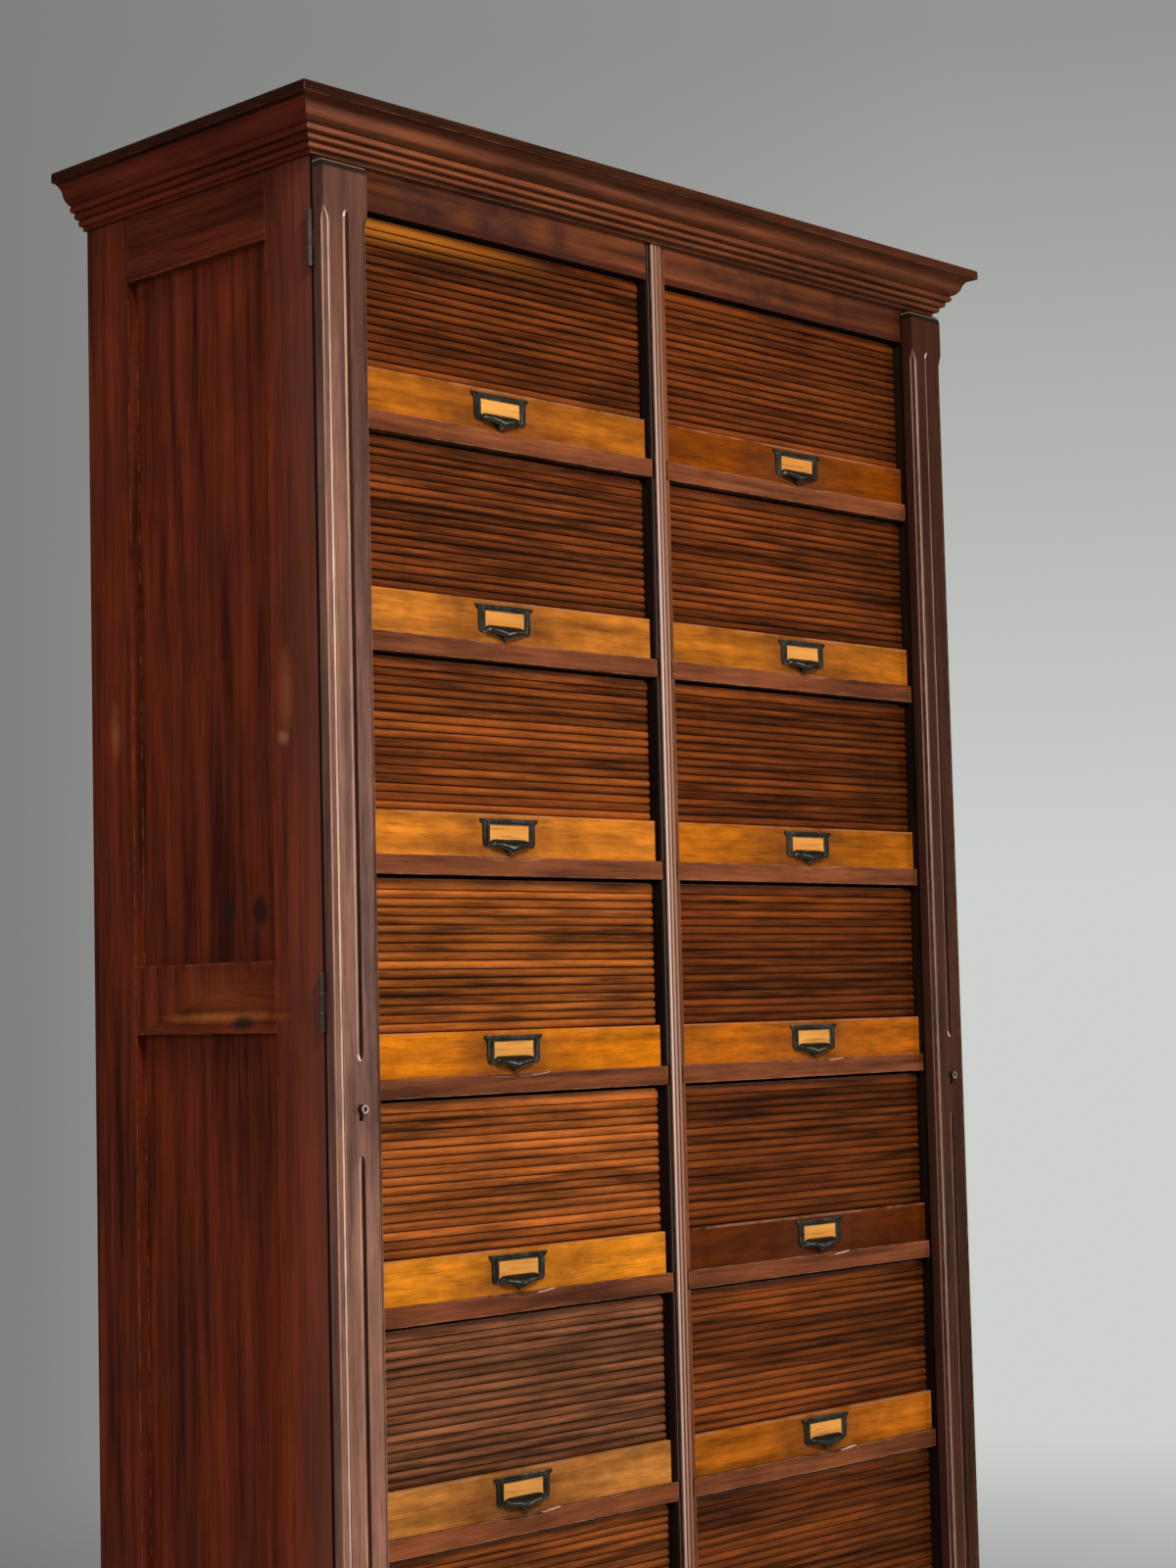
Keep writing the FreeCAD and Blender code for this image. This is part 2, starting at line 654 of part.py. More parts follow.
def drawer_side_board():
    """Drawer side at -X, with its rounded front corner and the groove that the curtain runs in."""
    body = doc.addObject("PartDesign::Body", "drawer_side_left")
    shape = outline(body, "YZ_Plane", [
        ("side_front", "ledge_thickness"), ("side_front", "side_arc_z", "side_round"),
        ("side_arc_y", "side_top"), ("drawer_length", "side_top"), ("drawer_length", "ledge_thickness")])
    sink(body, shape, "drawer_side", "Pad")
    band = outline(body, "YZ_Plane", [
        ("near_y", "board_top"), ("near_y", "bend_z", "near_radius"), ("bend_y", "near_top"),
        ("groove_end", "near_top"), ("groove_end", "far_top"), ("bend_y", "far_top"),
        ("far_y", "bend_z"), ("far_y", "board_top")])
    band.AttachmentOffset = FreeCAD.Placement()
    band.setExpression("AttachmentOffset.Base.z", bound("drawer_side - groove_depth"))
    sink(body, band, "groove_depth", "Pocket", backwards=True)
    put(body, ("-box_width / 2", "0", "0"))
    return body


def slat_shape():
    """One slat at the origin: crest along X, depth along Y, width along Z, with its rib behind."""
    long = value("box_width") - 2 * value("slat_end_gap")
    half, depth, crown = value("slat_width") / 2, value("slat_depth"), value("slat_round")
    corner = FreeCAD.Vector
    left = -long / 2
    arc = Part.Arc(corner(left, crown, -half), corner(left, 0, 0), corner(left, crown, half)).toShape()
    rest = Part.makePolygon([corner(left, crown, half), corner(left, depth, half),
                             corner(left, depth, -half), corner(left, crown, -half)])
    face = Part.Face(Part.Wire([arc] + rest.Edges)).extrude(corner(long, 0, 0))
    inside = value("box_width") - 2 * value("drawer_side") - 2 * value("groove_gap")
    rib_half = value("rib_width") / 2
    deep = value("rib_depth") - depth
    rib = Part.makeBox(inside, deep, 2 * rib_half, corner(-inside / 2, depth, -rib_half))
    reach = inside + 2 * value("groove_depth")
    thick = value("rib_end_thickness")
    ends = Part.makeBox(reach, thick, 2 * rib_half, corner(-reach / 2, value("rib_depth") - thick, -rib_half))
    return face.fuse([rib, ends]).removeSplitter()


def curtain_slats():
    """Slats set along the front, round the bend and onto the top, spaced along their backs."""
    slat = slat_shape()
    back_radius = value("curtain_radius") - value("slat_depth")
    crest_y, bend_y, bend_z = value("curtain_setback"), value("bend_y"), value("bend_z")
    start = value("board_top") + value("slat_rest")
    straight = bend_z - start
    bend = back_radius * math.pi / 2
    slats = []
    count = round((straight + bend + value("curtain_lap")) / value("slat_pitch"))
    for index in range(count):
        along = value("slat_pitch") * index + value("slat_width") / 2
        angle = min(max((along - straight) / back_radius, 0), math.pi / 2)
        radius = value("curtain_radius")
        spot = FreeCAD.Vector(0, bend_y - radius * math.cos(angle), bend_z + radius * math.sin(angle))
        if along < straight:
            spot.z = start + along
        if along > straight + bend:
            spot.y = bend_y + along - straight - bend
        turn = FreeCAD.Rotation(FreeCAD.Vector(1, 0, 0), -math.degrees(angle))
        copy = slat.copy()
        copy.Placement = FreeCAD.Placement(spot, turn)
        slats.append(copy)
    feature = doc.addObject("Part::Feature", "curtain_slats")
    feature.Shape = Part.makeCompound(slats)
    return feature


def pull_pieces():
    """Label holder with its card and the hooded finger pull under the window."""
    body = doc.addObject("PartDesign::Body", "pull_plate")
    shape = outline(body, "XZ_Plane", [
        ("ear_left", "pull_top"), ("ear_right", "pull_top"), ("pull_right", "ear_z"),
        ("pull_right", "pull_z"), ("tip_right", "pull_z"), ("middle", "tip_z"), ("tip_left", "pull_z"),
        ("pull_left", "pull_z"), ("pull_left", "ear_z")])
    sink(body, shape, "pull_thickness", "Pad")
    window = outline(body, "XZ_Plane", [
        ("window_left", "window_top"), ("window_right", "window_top"),
        ("window_right", "window_z"), ("window_left", "window_z")])
    sink(body, window, "pull_thickness", "Pocket", backwards=True)
    put(body, ("0", "board_setback", "0"))
    reach = "window_width / 2 + card_lap"
    recess = board("card_recess", ("-(" + reach + ")", "board_setback - card_thickness - card_slack",
                                   "window_z - card_lap"),
                   ("2 * (" + reach + ")", "card_thickness + card_slack", "window_height + 2 * card_lap"))
    plate = cut("holder_plate", body, [recess])
    card = board("card", ("-(" + reach + ") + card_slack", "board_setback - card_thickness - card_slack / 2",
                          "window_z - card_lap + card_slack"),
                 ("2 * (" + reach + " - card_slack)", "card_thickness",
                  "window_height + 2 * card_lap - 2 * card_slack"))
    face = "board_setback - pull_thickness"
    shells = []
    for name, inset in (("hood_outer", "0"), ("hood_inner", "hood_wall")):
        shell = doc.addObject("Part::Ellipsoid", name)
        for side, text in (("Radius1", "hood_height - "), ("Radius2", "hood_width / 2 - "),
                           ("Radius3", "hood_reach - ")):
            shell.setExpression(side, bound(text + inset))
        shells.append(put(shell, ("0", face, "pull_z")))
    keep = board("hood_keep", ("-hood_width", face + " - 2 * hood_reach", "pull_z"),
                 ("2 * hood_width", "2 * hood_reach + hood_root", "2 * hood_height"))
    front = doc.addObject("Part::Common", "hood_front")
    front.Base = shells[0]
    front.Tool = keep
    hood = cut("hood", front, [shells[1]])
    return [fuse("holder", [plate, hood]), card]


nodes = []


def node(name, members, corner=None):
    """A named sub-part: its separate solids, at its place in the cabinet."""
    piece = group(name, members)
    piece.Label = name
    if corner:
        put(piece, corner)
    nodes.append(piece)
    return piece


case_side = side_frame()
node("side_left", case_side)
node("side_right", [mirrored(piece.Name + "_right", piece) for piece in case_side])
node("drawer_walls", drawer_walls())
node("carcass_boards", carcass_boards())
node("front_rails", front_rails())
node("cornice", cornice())
node("plinth", plinth())

case_leaves = hinge_leaf("case_leaf", hinge_heights(), "front_y - leaf_proud", "leaf_thickness", (0, 2), True)
node("hinge_leaves", case_leaves + [mirrored(leaf.Name + "_right", leaf) for leaf in case_leaves])

left_pilaster = pilaster()
left_fittings = hinge_leaf("pilaster_leaf", hinge_heights(), "pilaster_back - leaf_thickness + leaf_proud",
                           "leaf_thickness", (1,), False) + lock()
node("pilaster_left", left_pilaster)
node("pilaster_right", [mirrored(piece.Name + "_right", piece) for piece in left_pilaster])
node("fittings_left", left_fittings)
node("fittings_right", [mirrored(piece.Name + "_right", piece) for piece in left_fittings])

side_board = drawer_side_board()
side_mirror = mirrored("drawer_side_right", side_board)
low_board = board("low_board", ("-box_width / 2", "board_setback", "ledge_thickness"),
                  ("box_width", "side_front - board_setback", "board_height"))
back_board = board("drawer_back_board",
                   ("-box_width / 2 + drawer_side", "drawer_length - drawer_back", "ledge_thickness"),
                   ("box_width - 2 * drawer_side", "drawer_back", "drawer_back_height"))
slats = curtain_slats()
holder = pull_pieces()

for column, side in (("left", -1), ("right", 1)):
    bottom_board = drawer_bottom(side)
    for row in range(int(value("row_count"))):
        height = "first_row_z + row_pitch * (row_count - 1 - %d)" % row
        corner = ("%d * column_x" % side, "drawer_y", height)
        number = "%s_%d" % (column, row + 1)
        node("drawer_" + number, [bottom_board, low_board, side_board, side_mirror, back_board], corner)
        node("curtain_" + number, [slats], corner)
        node("pull_" + number, holder, ("%d * pull_x" % side, "drawer_y", height))

doc.recompute()

for item in doc.Objects:
    if "Invalid" in item.State or "Error" in item.State:
        raise RuntimeError("failed: " + item.Name)
for piece in nodes:
    if piece.Shape.isNull() or not piece.Shape.isValid() or not piece.Shape.Solids:
        raise RuntimeError("bad shape: " + piece.Label)

os.makedirs("parts", exist_ok=True)
for piece in nodes:
    piece.Shape.exportStep("parts/%s.step" % piece.Label)
print("%d sub-parts, %d solids" % (len(nodes), sum(len(piece.Shape.Solids) for piece in nodes)))
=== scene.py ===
import math
import random

import bmesh
import bpy
from mathutils import Matrix, Vector


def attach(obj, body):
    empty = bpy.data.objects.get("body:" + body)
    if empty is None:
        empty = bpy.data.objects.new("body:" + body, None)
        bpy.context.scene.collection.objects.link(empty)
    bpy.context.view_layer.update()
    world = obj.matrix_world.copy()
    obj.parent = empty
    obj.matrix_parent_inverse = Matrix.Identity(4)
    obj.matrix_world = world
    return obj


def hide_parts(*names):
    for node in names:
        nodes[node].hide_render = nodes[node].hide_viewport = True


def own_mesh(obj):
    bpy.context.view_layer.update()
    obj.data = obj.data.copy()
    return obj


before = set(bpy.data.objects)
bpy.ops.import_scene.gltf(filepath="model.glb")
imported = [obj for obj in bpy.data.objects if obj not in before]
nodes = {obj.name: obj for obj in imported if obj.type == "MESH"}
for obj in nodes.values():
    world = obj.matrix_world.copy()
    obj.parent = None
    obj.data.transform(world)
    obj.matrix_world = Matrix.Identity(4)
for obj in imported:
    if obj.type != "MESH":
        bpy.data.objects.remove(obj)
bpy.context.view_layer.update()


# --- Helpers for meshes and shaders -----------------------------------------------------------
def scene_object(name, data):
    """A new object in the scene."""
    made = bpy.data.objects.new(name, data)
    bpy.context.scene.collection.objects.link(made)
    return made


def mesh_object(name, bm):
    """A new object with the shape of a bmesh."""
    mesh = bpy.data.meshes.new(name)
    bm.to_mesh(mesh)
    bm.free()
    return scene_object(name, mesh)


def ring_of(bm, points):
    """A closed row of edges through points."""
    verts = [bm.verts.new(point) for point in points]
    return [bm.edges.new((verts[i], verts[(i + 1) % len(verts)])) for i in range(len(verts))]


def verts_of(items):
    return [item for item in items if isinstance(item, bmesh.types.BMVert)]


def scaled(colour, share):
    return tuple(c * share for c in colour)


def new_material(name):
    """A material, its node tree and its shader."""
    material = bpy.data.materials.new(name)
    material.use_nodes = True
    return material, material.node_tree, material.node_tree.nodes["Principled BSDF"]


def plain_material(name, colour, rough):
    material, _, shader = new_material(name)
    shader.inputs["Base Color"].default_value = (*colour, 1.0)
    shader.inputs["Roughness"].default_value = rough
    return material


def part_place(tree):
    """The place on the cabinet, as a vector."""
    return tree.nodes.new("ShaderNodeTexCoord").outputs["Object"]


def part_axes(tree):
    """The place on the cabinet, as outputs X, Y and Z."""
    split = tree.nodes.new("ShaderNodeSeparateXYZ")
    tree.links.new(part_place(tree), split.inputs["Vector"])
    return split.outputs


def ramp_node(tree, source, low, high, bottom=0.0, top=1.0):
    """Stretches a value between two limits."""
    ramp = tree.nodes.new("ShaderNodeMapRange")
    for label, amount in (("From Min", low), ("From Max", high), ("To Min", bottom), ("To Max", top)):
        ramp.inputs[label].default_value = amount
    tree.links.new(source, ramp.inputs["Value"])
    return ramp.outputs["Result"]


def maths(tree, kind, first, second=0):
    """A Math node on sockets or numbers."""
    node = tree.nodes.new("ShaderNodeMath")
    node.operation = kind
    for slot, entry in zip(node.inputs, (first, second)):
        if isinstance(entry, (int, float)):
            slot.default_value = entry
        else:
            tree.links.new(entry, slot)
    return node.outputs["Value"]


def times(tree, first, second):
    """The product of two sockets or numbers."""
    return maths(tree, "MULTIPLY", first, second)


def colour_mix(tree, share, first, second, blend="MIX"):
    mix = tree.nodes.new("ShaderNodeMix")
    mix.data_type, mix.blend_type = "RGBA", blend
    for label, entry in (("Factor", share), ("A", first), ("B", second)):
        slot = [s for s in mix.inputs if s.name == label and (label == "Factor" or s.type == "RGBA")][0]
        if isinstance(entry, (int, float)):
            slot.default_value = entry
        elif isinstance(entry, tuple):
            slot.default_value = (*entry, 1.0)
        else:
            tree.links.new(entry, slot)
    return [s for s in mix.outputs if s.type == "RGBA"][0]


# --- Camera, floor and light ------------------------------------------------------------------
# A long lens from the left front, a little below the cabinet's top, looking slightly upwards.
# The floor is a plain pale sheet, and three large soft lamps stand round the cabinet.
camera_data = bpy.data.cameras.new("camera")
camera_data.sensor_width = 36.0
camera_data.lens = 2856.756 / 1600 * 36.0
camera_data.clip_end = 60.0
camera = scene_object("camera", camera_data)
right, up = Vector((0.695109, -0.718505, -0.023961)), Vector((-0.03947, -0.071422, 0.996665))
back = right.cross(up)
turn = Matrix((right, up, back)).transposed().to_4x4()
camera.matrix_world = Matrix.Translation((-1.835581, -1.801461, 0.91274)) @ turn
bpy.context.scene.camera = camera
floor_bm = bmesh.new()
bmesh.ops.create_grid(floor_bm, x_segments=1, y_segments=1, size=14.0)
floor_sheet = mesh_object("floor", floor_bm)
pale_floor = plain_material("pale_floor", (0.62, 0.63, 0.615), 0.8)
floor_tree = pale_floor.node_tree
floor_far = floor_tree.nodes.new("ShaderNodeVectorMath")
floor_far.operation = "LENGTH"
floor_tree.links.new(part_place(floor_tree), floor_far.inputs[0])
floor_fade = ramp_node(floor_tree, floor_far.outputs["Value"], 1.1, 3.6)
floor_fade.node.interpolation_type = "SMOOTHSTEP"
floor_clear = floor_tree.nodes.new("ShaderNodeBsdfTransparent")
floor_mix = floor_tree.nodes.new("ShaderNodeMixShader")
floor_tree.links.new(floor_fade, floor_mix.inputs["Fac"])
floor_tree.links.new(floor_tree.nodes["Principled BSDF"].outputs["BSDF"], floor_mix.inputs[1])
floor_tree.links.new(floor_clear.outputs["BSDF"], floor_mix.inputs[2])
floor_tree.links.new(floor_mix.outputs["Shader"], floor_tree.nodes["Material Output"].inputs["Surface"])
floor_sheet.data.materials.append(pale_floor)


def soft_lamp(name, place, aim, size, watts, colour=(1.0, 1.0, 1.0)):
    lamp = bpy.data.lights.new(name, "AREA")
    lamp.shape, lamp.size, lamp.size_y = "RECTANGLE", size[0], size[1]
    lamp.energy, lamp.color = watts, colour
    holder = scene_object(name, lamp)
    holder.location = place
    holder.rotation_euler = (Vector(aim) - Vector(place)).to_track_quat("-Z", "Y").to_euler()


soft_lamp("key_lamp", (-1.2, -3.0, 3.5), (0.0, 0.0, 0.9), (0.9, 1.1), 150.0, (1.0, 0.985, 0.95))
soft_lamp("fill_lamp", (-3.6, -0.2, 1.9), (0.0, 0.0, 0.8), (1.4, 2.0), 40.0)
soft_lamp("window_lamp", (2.1, -2.7, 1.15), (0.0, -0.1, 0.95), (0.7, 1.7), 26.0, (1.0, 0.98, 0.96))
world = bpy.data.worlds.new("room")
bpy.context.scene.world = world
world.use_nodes = True
room = world.node_tree
room_light = room.nodes["Background"]
room_light.inputs["Color"].default_value = (0.95, 0.95, 1.0, 1.0)
room_light.inputs["Strength"].default_value = 0.2
look = room.nodes.new("ShaderNodeTexCoord").outputs["Generated"]
sideways = room.nodes.new("ShaderNodeVectorMath")
sideways.operation = "DOT_PRODUCT"
sideways.inputs[1].default_value = (0.695, -0.7185, 0.0)
room.links.new(look, sideways.inputs[0])
upward = room.nodes.new("ShaderNodeSeparateXYZ")
room.links.new(look, upward.inputs["Vector"])
wall = colour_mix(room, ramp_node(room, upward.outputs["Z"], 0.04, 0.33), (0.615, 0.635, 0.61),
                  (0.30, 0.30, 0.293))
wall = colour_mix(room, ramp_node(room, sideways.outputs["Value"], -0.2, 0.13), (0.216, 0.219, 0.211), wall)
pale_wall = room.nodes.new("ShaderNodeBackground")
room.links.new(wall, pale_wall.inputs["Color"])
seen = room.nodes.new("ShaderNodeLightPath")
mix_wall = room.nodes.new("ShaderNodeMixShader")
room.links.new(seen.outputs["Is Camera Ray"], mix_wall.inputs["Fac"])
room.links.new(room_light.outputs["Background"], mix_wall.inputs[1])
room.links.new(pale_wall.outputs["Background"], mix_wall.inputs[2])
room.links.new(mix_wall.outputs["Shader"], room.nodes["World Output"].inputs["Surface"])
bpy.context.scene.view_settings.view_transform = "Standard"


# --- Polished mahogany ------------------------------------------------------------------------
# Every board is old polished hardwood: long straight figure with short dark pores, paler on its arrises
# (partly wear, partly a painted highlight) and darkened by grime. The groups give its figure, its pale
# arrises and its stains.
def shader_group(name, inputs, outputs):
    """A node group with its named sockets, and its entry and exit nodes."""
    group = bpy.data.node_groups.new(name, "ShaderNodeTree")
    for label, kind, default in inputs:
        socket = group.interface.new_socket(label, in_out="INPUT", socket_type=kind)
        socket.default_value = default
    for label, kind in outputs:
        group.interface.new_socket(label, in_out="OUTPUT", socket_type=kind)
    return group, group.nodes.new("NodeGroupInput"), group.nodes.new("NodeGroupOutput")


def noise_node(tree, vector, scale, detail, rough=0.55):
    noise = tree.nodes.new("ShaderNodeTexNoise")
    noise.inputs["Scale"].default_value = scale
    noise.inputs["Detail"].default_value = detail
    noise.inputs["Roughness"].default_value = rough
    tree.links.new(vector, noise.inputs["Vector"])
    return noise.outputs["Fac"]


grain_group, grain_in, grain_out = shader_group(
    "wood_figure",
    [("Vector", "NodeSocketVector", (0, 0, 0)), ("Dark", "NodeSocketColor", (0, 0, 0, 1)),
     ("Light", "NodeSocketColor", (0, 0, 0, 1))],
    [("Colour", "NodeSocketColor"), ("Height", "NodeSocketFloat"), ("Gloss", "NodeSocketFloat")])
bend_figure = noise_node(grain_group, grain_in.outputs["Vector"], 0.9, 2.0)
bands = noise_node(grain_group, grain_in.outputs["Vector"], 6.0, 4.0, 0.6)
pores = noise_node(grain_group, grain_in.outputs["Vector"], 46.0, 2.0, 0.5)
figure = maths(grain_group, "ADD", times(grain_group, bands, 0.62), times(grain_group, bend_figure, 0.38))
figure = ramp_node(grain_group, figure, 0.38, 0.62)
pore_dark = ramp_node(grain_group, pores, 0.54, 0.74)
grain_colour = colour_mix(grain_group, figure, grain_in.outputs["Dark"], grain_in.outputs["Light"])
grain_colour = colour_mix(grain_group, times(grain_group, pore_dark, 0.42), grain_colour,
                          (0.012, 0.006, 0.004))
grain_group.links.new(grain_colour, grain_out.inputs["Colour"])
grain_group.links.new(times(grain_group, pore_dark, -0.6), grain_out.inputs["Height"])
grain_group.links.new(times(grain_group, bands, 0.2), grain_out.inputs["Gloss"])

# Pale arrises: partly wear and partly a painted highlight.
wear_and_glint_group, wear_in, wear_out = shader_group(
    "worn_arris_and_glint",
    [("Width", "NodeSocketFloat", 0.003), ("Amount", "NodeSocketFloat", 0.6)],
    [("Mask", "NodeSocketFloat")])
rounded = wear_and_glint_group.nodes.new("ShaderNodeBevel")
rounded.samples = 3
wear_and_glint_group.links.new(wear_in.outputs["Width"], rounded.inputs["Radius"])
flat_way = wear_and_glint_group.nodes.new("ShaderNodeNewGeometry").outputs["True Normal"]
agree = wear_and_glint_group.nodes.new("ShaderNodeVectorMath")
agree.operation = "DOT_PRODUCT"
wear_and_glint_group.links.new(rounded.outputs["Normal"], agree.inputs[0])
wear_and_glint_group.links.new(flat_way, agree.inputs[1])
near_edge = ramp_node(wear_and_glint_group, agree.outputs["Value"], 0.97, 0.86)
patchy = ramp_node(wear_and_glint_group, noise_node(wear_and_glint_group, part_place(wear_and_glint_group), 55.0, 5.0, 0.7), 0.44, 0.6)
worn = times(wear_and_glint_group, times(wear_and_glint_group, near_edge, patchy), wear_in.outputs["Amount"])
wear_and_glint_group.links.new(worn, wear_out.inputs["Mask"])

grime_group, grime_in, grime_out = shader_group("old_grime", [], [("Grime", "NodeSocketFloat")])
clouds = noise_node(grime_group, part_place(grime_group), 7.5, 4.0, 0.62)
grime_group.links.new(ramp_node(grime_group, clouds, 0.42, 0.72), grime_out.inputs["Grime"])


def worn_and_glinting_edges(tree, colour, bare, amount, width):
    """Lays a pale colour over the arrises: partly bare worn surface, partly a painted highlight."""
    wear = tree.nodes.new("ShaderNodeGroup")
    wear.node_tree = wear_and_glint_group
    wear.inputs["Width"].default_value = width
    wear.inputs["Amount"].default_value = amount
    return colour_mix(tree, wear.outputs["Mask"], colour, bare)


def rough_surface(tree, shader, height, strength, deep):
    bump = tree.nodes.new("ShaderNodeBump")
    bump.inputs["Strength"].default_value = strength
    bump.inputs["Distance"].default_value = deep
    tree.links.new(height, bump.inputs["Height"])
    tree.links.new(bump.outputs["Normal"], shader.inputs["Normal"])


def wood(name, dark, light, along, gloss=0.36, pale_arris_colour=None, pale_arris_amount=0.0,
         grime=0.3, arris=0.0013, shift=(0.0, 0.0, 0.0), stretch=14.0, marks=None, shine=0.03):
    """Polished wood whose figure runs along one axis of the cabinet."""
    material, tree, shader = new_material(name)
    place = tree.nodes.new("ShaderNodeMapping")
    tree.links.new(part_place(tree), place.inputs["Vector"])
    place.inputs["Scale"].default_value = [stretch if axis != along else stretch * 0.055 for axis in "xyz"]
    place.inputs["Location"].default_value = shift
    grain = tree.nodes.new("ShaderNodeGroup")
    grain.node_tree = grain_group
    grain.inputs["Dark"].default_value = (*dark, 1.0)
    grain.inputs["Light"].default_value = (*light, 1.0)
    tree.links.new(place.outputs["Vector"], grain.inputs["Vector"])
    dirt = tree.nodes.new("ShaderNodeGroup")
    dirt.node_tree = grime_group
    colour = colour_mix(tree, times(tree, dirt.outputs["Grime"], grime),
                        grain.outputs["Colour"], (0.014, 0.006, 0.004))
    if pale_arris_amount:
        colour = worn_and_glinting_edges(tree, colour, pale_arris_colour, pale_arris_amount, arris)
    if marks:
        colour = marks(tree, colour)
    tree.links.new(colour, shader.inputs["Base Color"])
    rough = maths(tree, "ADD", times(tree, dirt.outputs["Grime"], 0.16),
                  maths(tree, "ADD", grain.outputs["Gloss"], gloss - 0.1))
    tree.links.new(rough, shader.inputs["Roughness"])
    rough_surface(tree, shader, grain.outputs["Height"], 0.28, 0.0006)
    shader.inputs["Specular IOR Level"].default_value = shine
    return material


def ragged_distance(tree, first, second, wobble, ragged):
    """How far a place is from a spot, in its sizes; each axis comes with the spot's middle and size."""
    squares = []
    for axis, middle, size in (first, second):
        share = maths(tree, "DIVIDE", maths(tree, "SUBTRACT", axis, middle), size)
        squares.append(times(tree, share, share))
    far = maths(tree, "SQRT", maths(tree, "ADD", *squares))
    return maths(tree, "ADD", far, times(tree, maths(tree, "SUBTRACT", wobble, 0.5), ragged))


def finish_piece(name, bm, materials, body, stands_for, smooth=None):
    """Turns a bmesh into a piece that rides on a body."""
    piece = mesh_object(name, bm)
    for material in materials:
        piece.data.materials.append(material)
    if smooth:
        piece.data.shade_smooth()
        piece.data.set_sharp_from_angle(angle=math.radians(smooth))
    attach(piece, body)
    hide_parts(*stands_for)
    return piece


def refinish(name, material, eased=0.0):
    """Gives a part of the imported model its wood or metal, and eases its arrises."""
    part = nodes[name]
    part.data.materials.clear()
    part.data.materials.append(material)
    if eased:
        weld = part.modifiers.new("weld", "WELD")
        weld.merge_threshold = 0.00001
        ease = part.modifiers.new("ease", "BEVEL")
        ease.width, ease.segments, ease.limit_method = eased, 2, "ANGLE"
        ease.angle_limit = math.radians(40)


def board(bm, low, high, index=0):
    """A plank between two corners."""
    made = bmesh.ops.create_cube(bm, size=1.0)["verts"]
    size = [h - l for l, h in zip(low, high)]
    middle = [(h + l) / 2 for l, h in zip(low, high)]
    bmesh.ops.scale(bm, vec=size, verts=made)
    bmesh.ops.translate(bm, vec=middle, verts=made)
    faces = {face for vert in made for face in vert.link_faces}
    for face in faces:
        face.material_index = index


# --- Case sides, walls and rails --------------------------------------------------------------
# Frame-and-panel sides in a dark red brown, with vertical figure on stiles and panels and the rails' figure
# along the rail. Two old dark stains with runs below them, and pale worn patches, mark the left side.
CASE_HALF, FRONT_Y = 0.405, -0.1315
REED_SPAN, REED_WIDE, REED_FOOT, REED_RISE = 0.0069, 0.0046, 0.0003, 0.0012
DIVIDER_EDGE, MARGIN_LINE = 0.0127, 0.0099
FASCIA_FOOT = 1.6285


def side_marks(tree, colour):
    """Round stains, runs and a worn patch, placed on the left side by height and depth, and a painted shadow
    along the front arris.
    """
    place = part_axes(tree)
    wobble = noise_node(tree, part_place(tree), 42.0, 4.0, 0.6)
    on_left = maths(tree, "LESS_THAN", place["X"], -0.3)

    def spot(y, z, wide, tall, soft):
        far = ragged_distance(tree, (place["Y"], y, wide), (place["Z"], z, tall), wobble, 0.9)
        return times(tree, ramp_node(tree, far, 1.0, 1.0 - soft), on_left)

    for y, z, wide, tall, soft, strength, tint in (
            (-0.003, 0.9085, 0.095, 0.0055, 0.8, 0.7, (0.34, 0.10, 0.02)),
            (0.000, 0.925, 0.080, 0.030, 0.95, 0.3, (0.24, 0.06, 0.014)),
            (-0.0915, 1.165, 0.010, 0.045, 0.9, 0.4, (0.30, 0.10, 0.035)),
            (-0.0874, 1.1297, 0.009, 0.007, 0.8, 0.42, (0.40, 0.19, 0.1)),
            (0.135, 1.150, 0.010, 0.030, 0.9, 0.5, (0.26, 0.085, 0.025)),
            (-0.002, 0.9943, 0.011, 0.013, 0.5, 0.85, (0.014, 0.008, 0.006)),
            (-0.0433, 0.9927, 0.011, 0.015, 0.5, 0.85, (0.014, 0.008, 0.006)),
            (-0.0377, 0.9653, 0.006, 0.024, 0.7, 0.7, (0.018, 0.009, 0.007)),
            (-0.006, 0.968, 0.004, 0.016, 0.7, 0.6, (0.018, 0.009, 0.007)),
            (-0.0313, 0.9032, 0.018, 0.008, 0.6, 0.85, (0.016, 0.009, 0.007))):
        share = times(tree, spot(y, z, wide, tall, soft), strength)
        colour = colour_mix(tree, share, colour, tint)
    front_stile = ramp_node(tree, place["Y"], FRONT_Y + 0.060, FRONT_Y + 0.010, 0.0, 0.32)
    colour = colour_mix(tree, front_stile, colour, (0.17, 0.058, 0.038))
    # Painted shadow: a dark line along the front arris, where the gap behind the pilaster lies in shade.
    arris = ramp_node(tree, place["Y"], FRONT_Y + 0.0016, FRONT_Y + 0.0008, 0.0, 0.92)
    return colour_mix(tree, arris, colour, (0.006, 0.003, 0.002))


case_side = wood("case_side_wood", (0.033, 0.0060, 0.0024), (0.155, 0.0245, 0.0082), "z", gloss=0.4,
                 pale_arris_colour=(0.34, 0.12, 0.05), pale_arris_amount=0.6, arris=0.0018, marks=side_marks)
side_rail = wood("side_rail_wood", (0.036, 0.0066, 0.0026), (0.150, 0.0250, 0.0084), "y", gloss=0.4,
                 pale_arris_colour=(0.34, 0.12, 0.05), pale_arris_amount=0.6, arris=0.0018, marks=side_marks)
case_rail = wood("case_rail_wood", (0.042, 0.009, 0.0025), (0.22, 0.056, 0.012), "x", gloss=0.36,
                 pale_arris_colour=(0.44, 0.2, 0.09), pale_arris_amount=0.5, arris=0.0015)


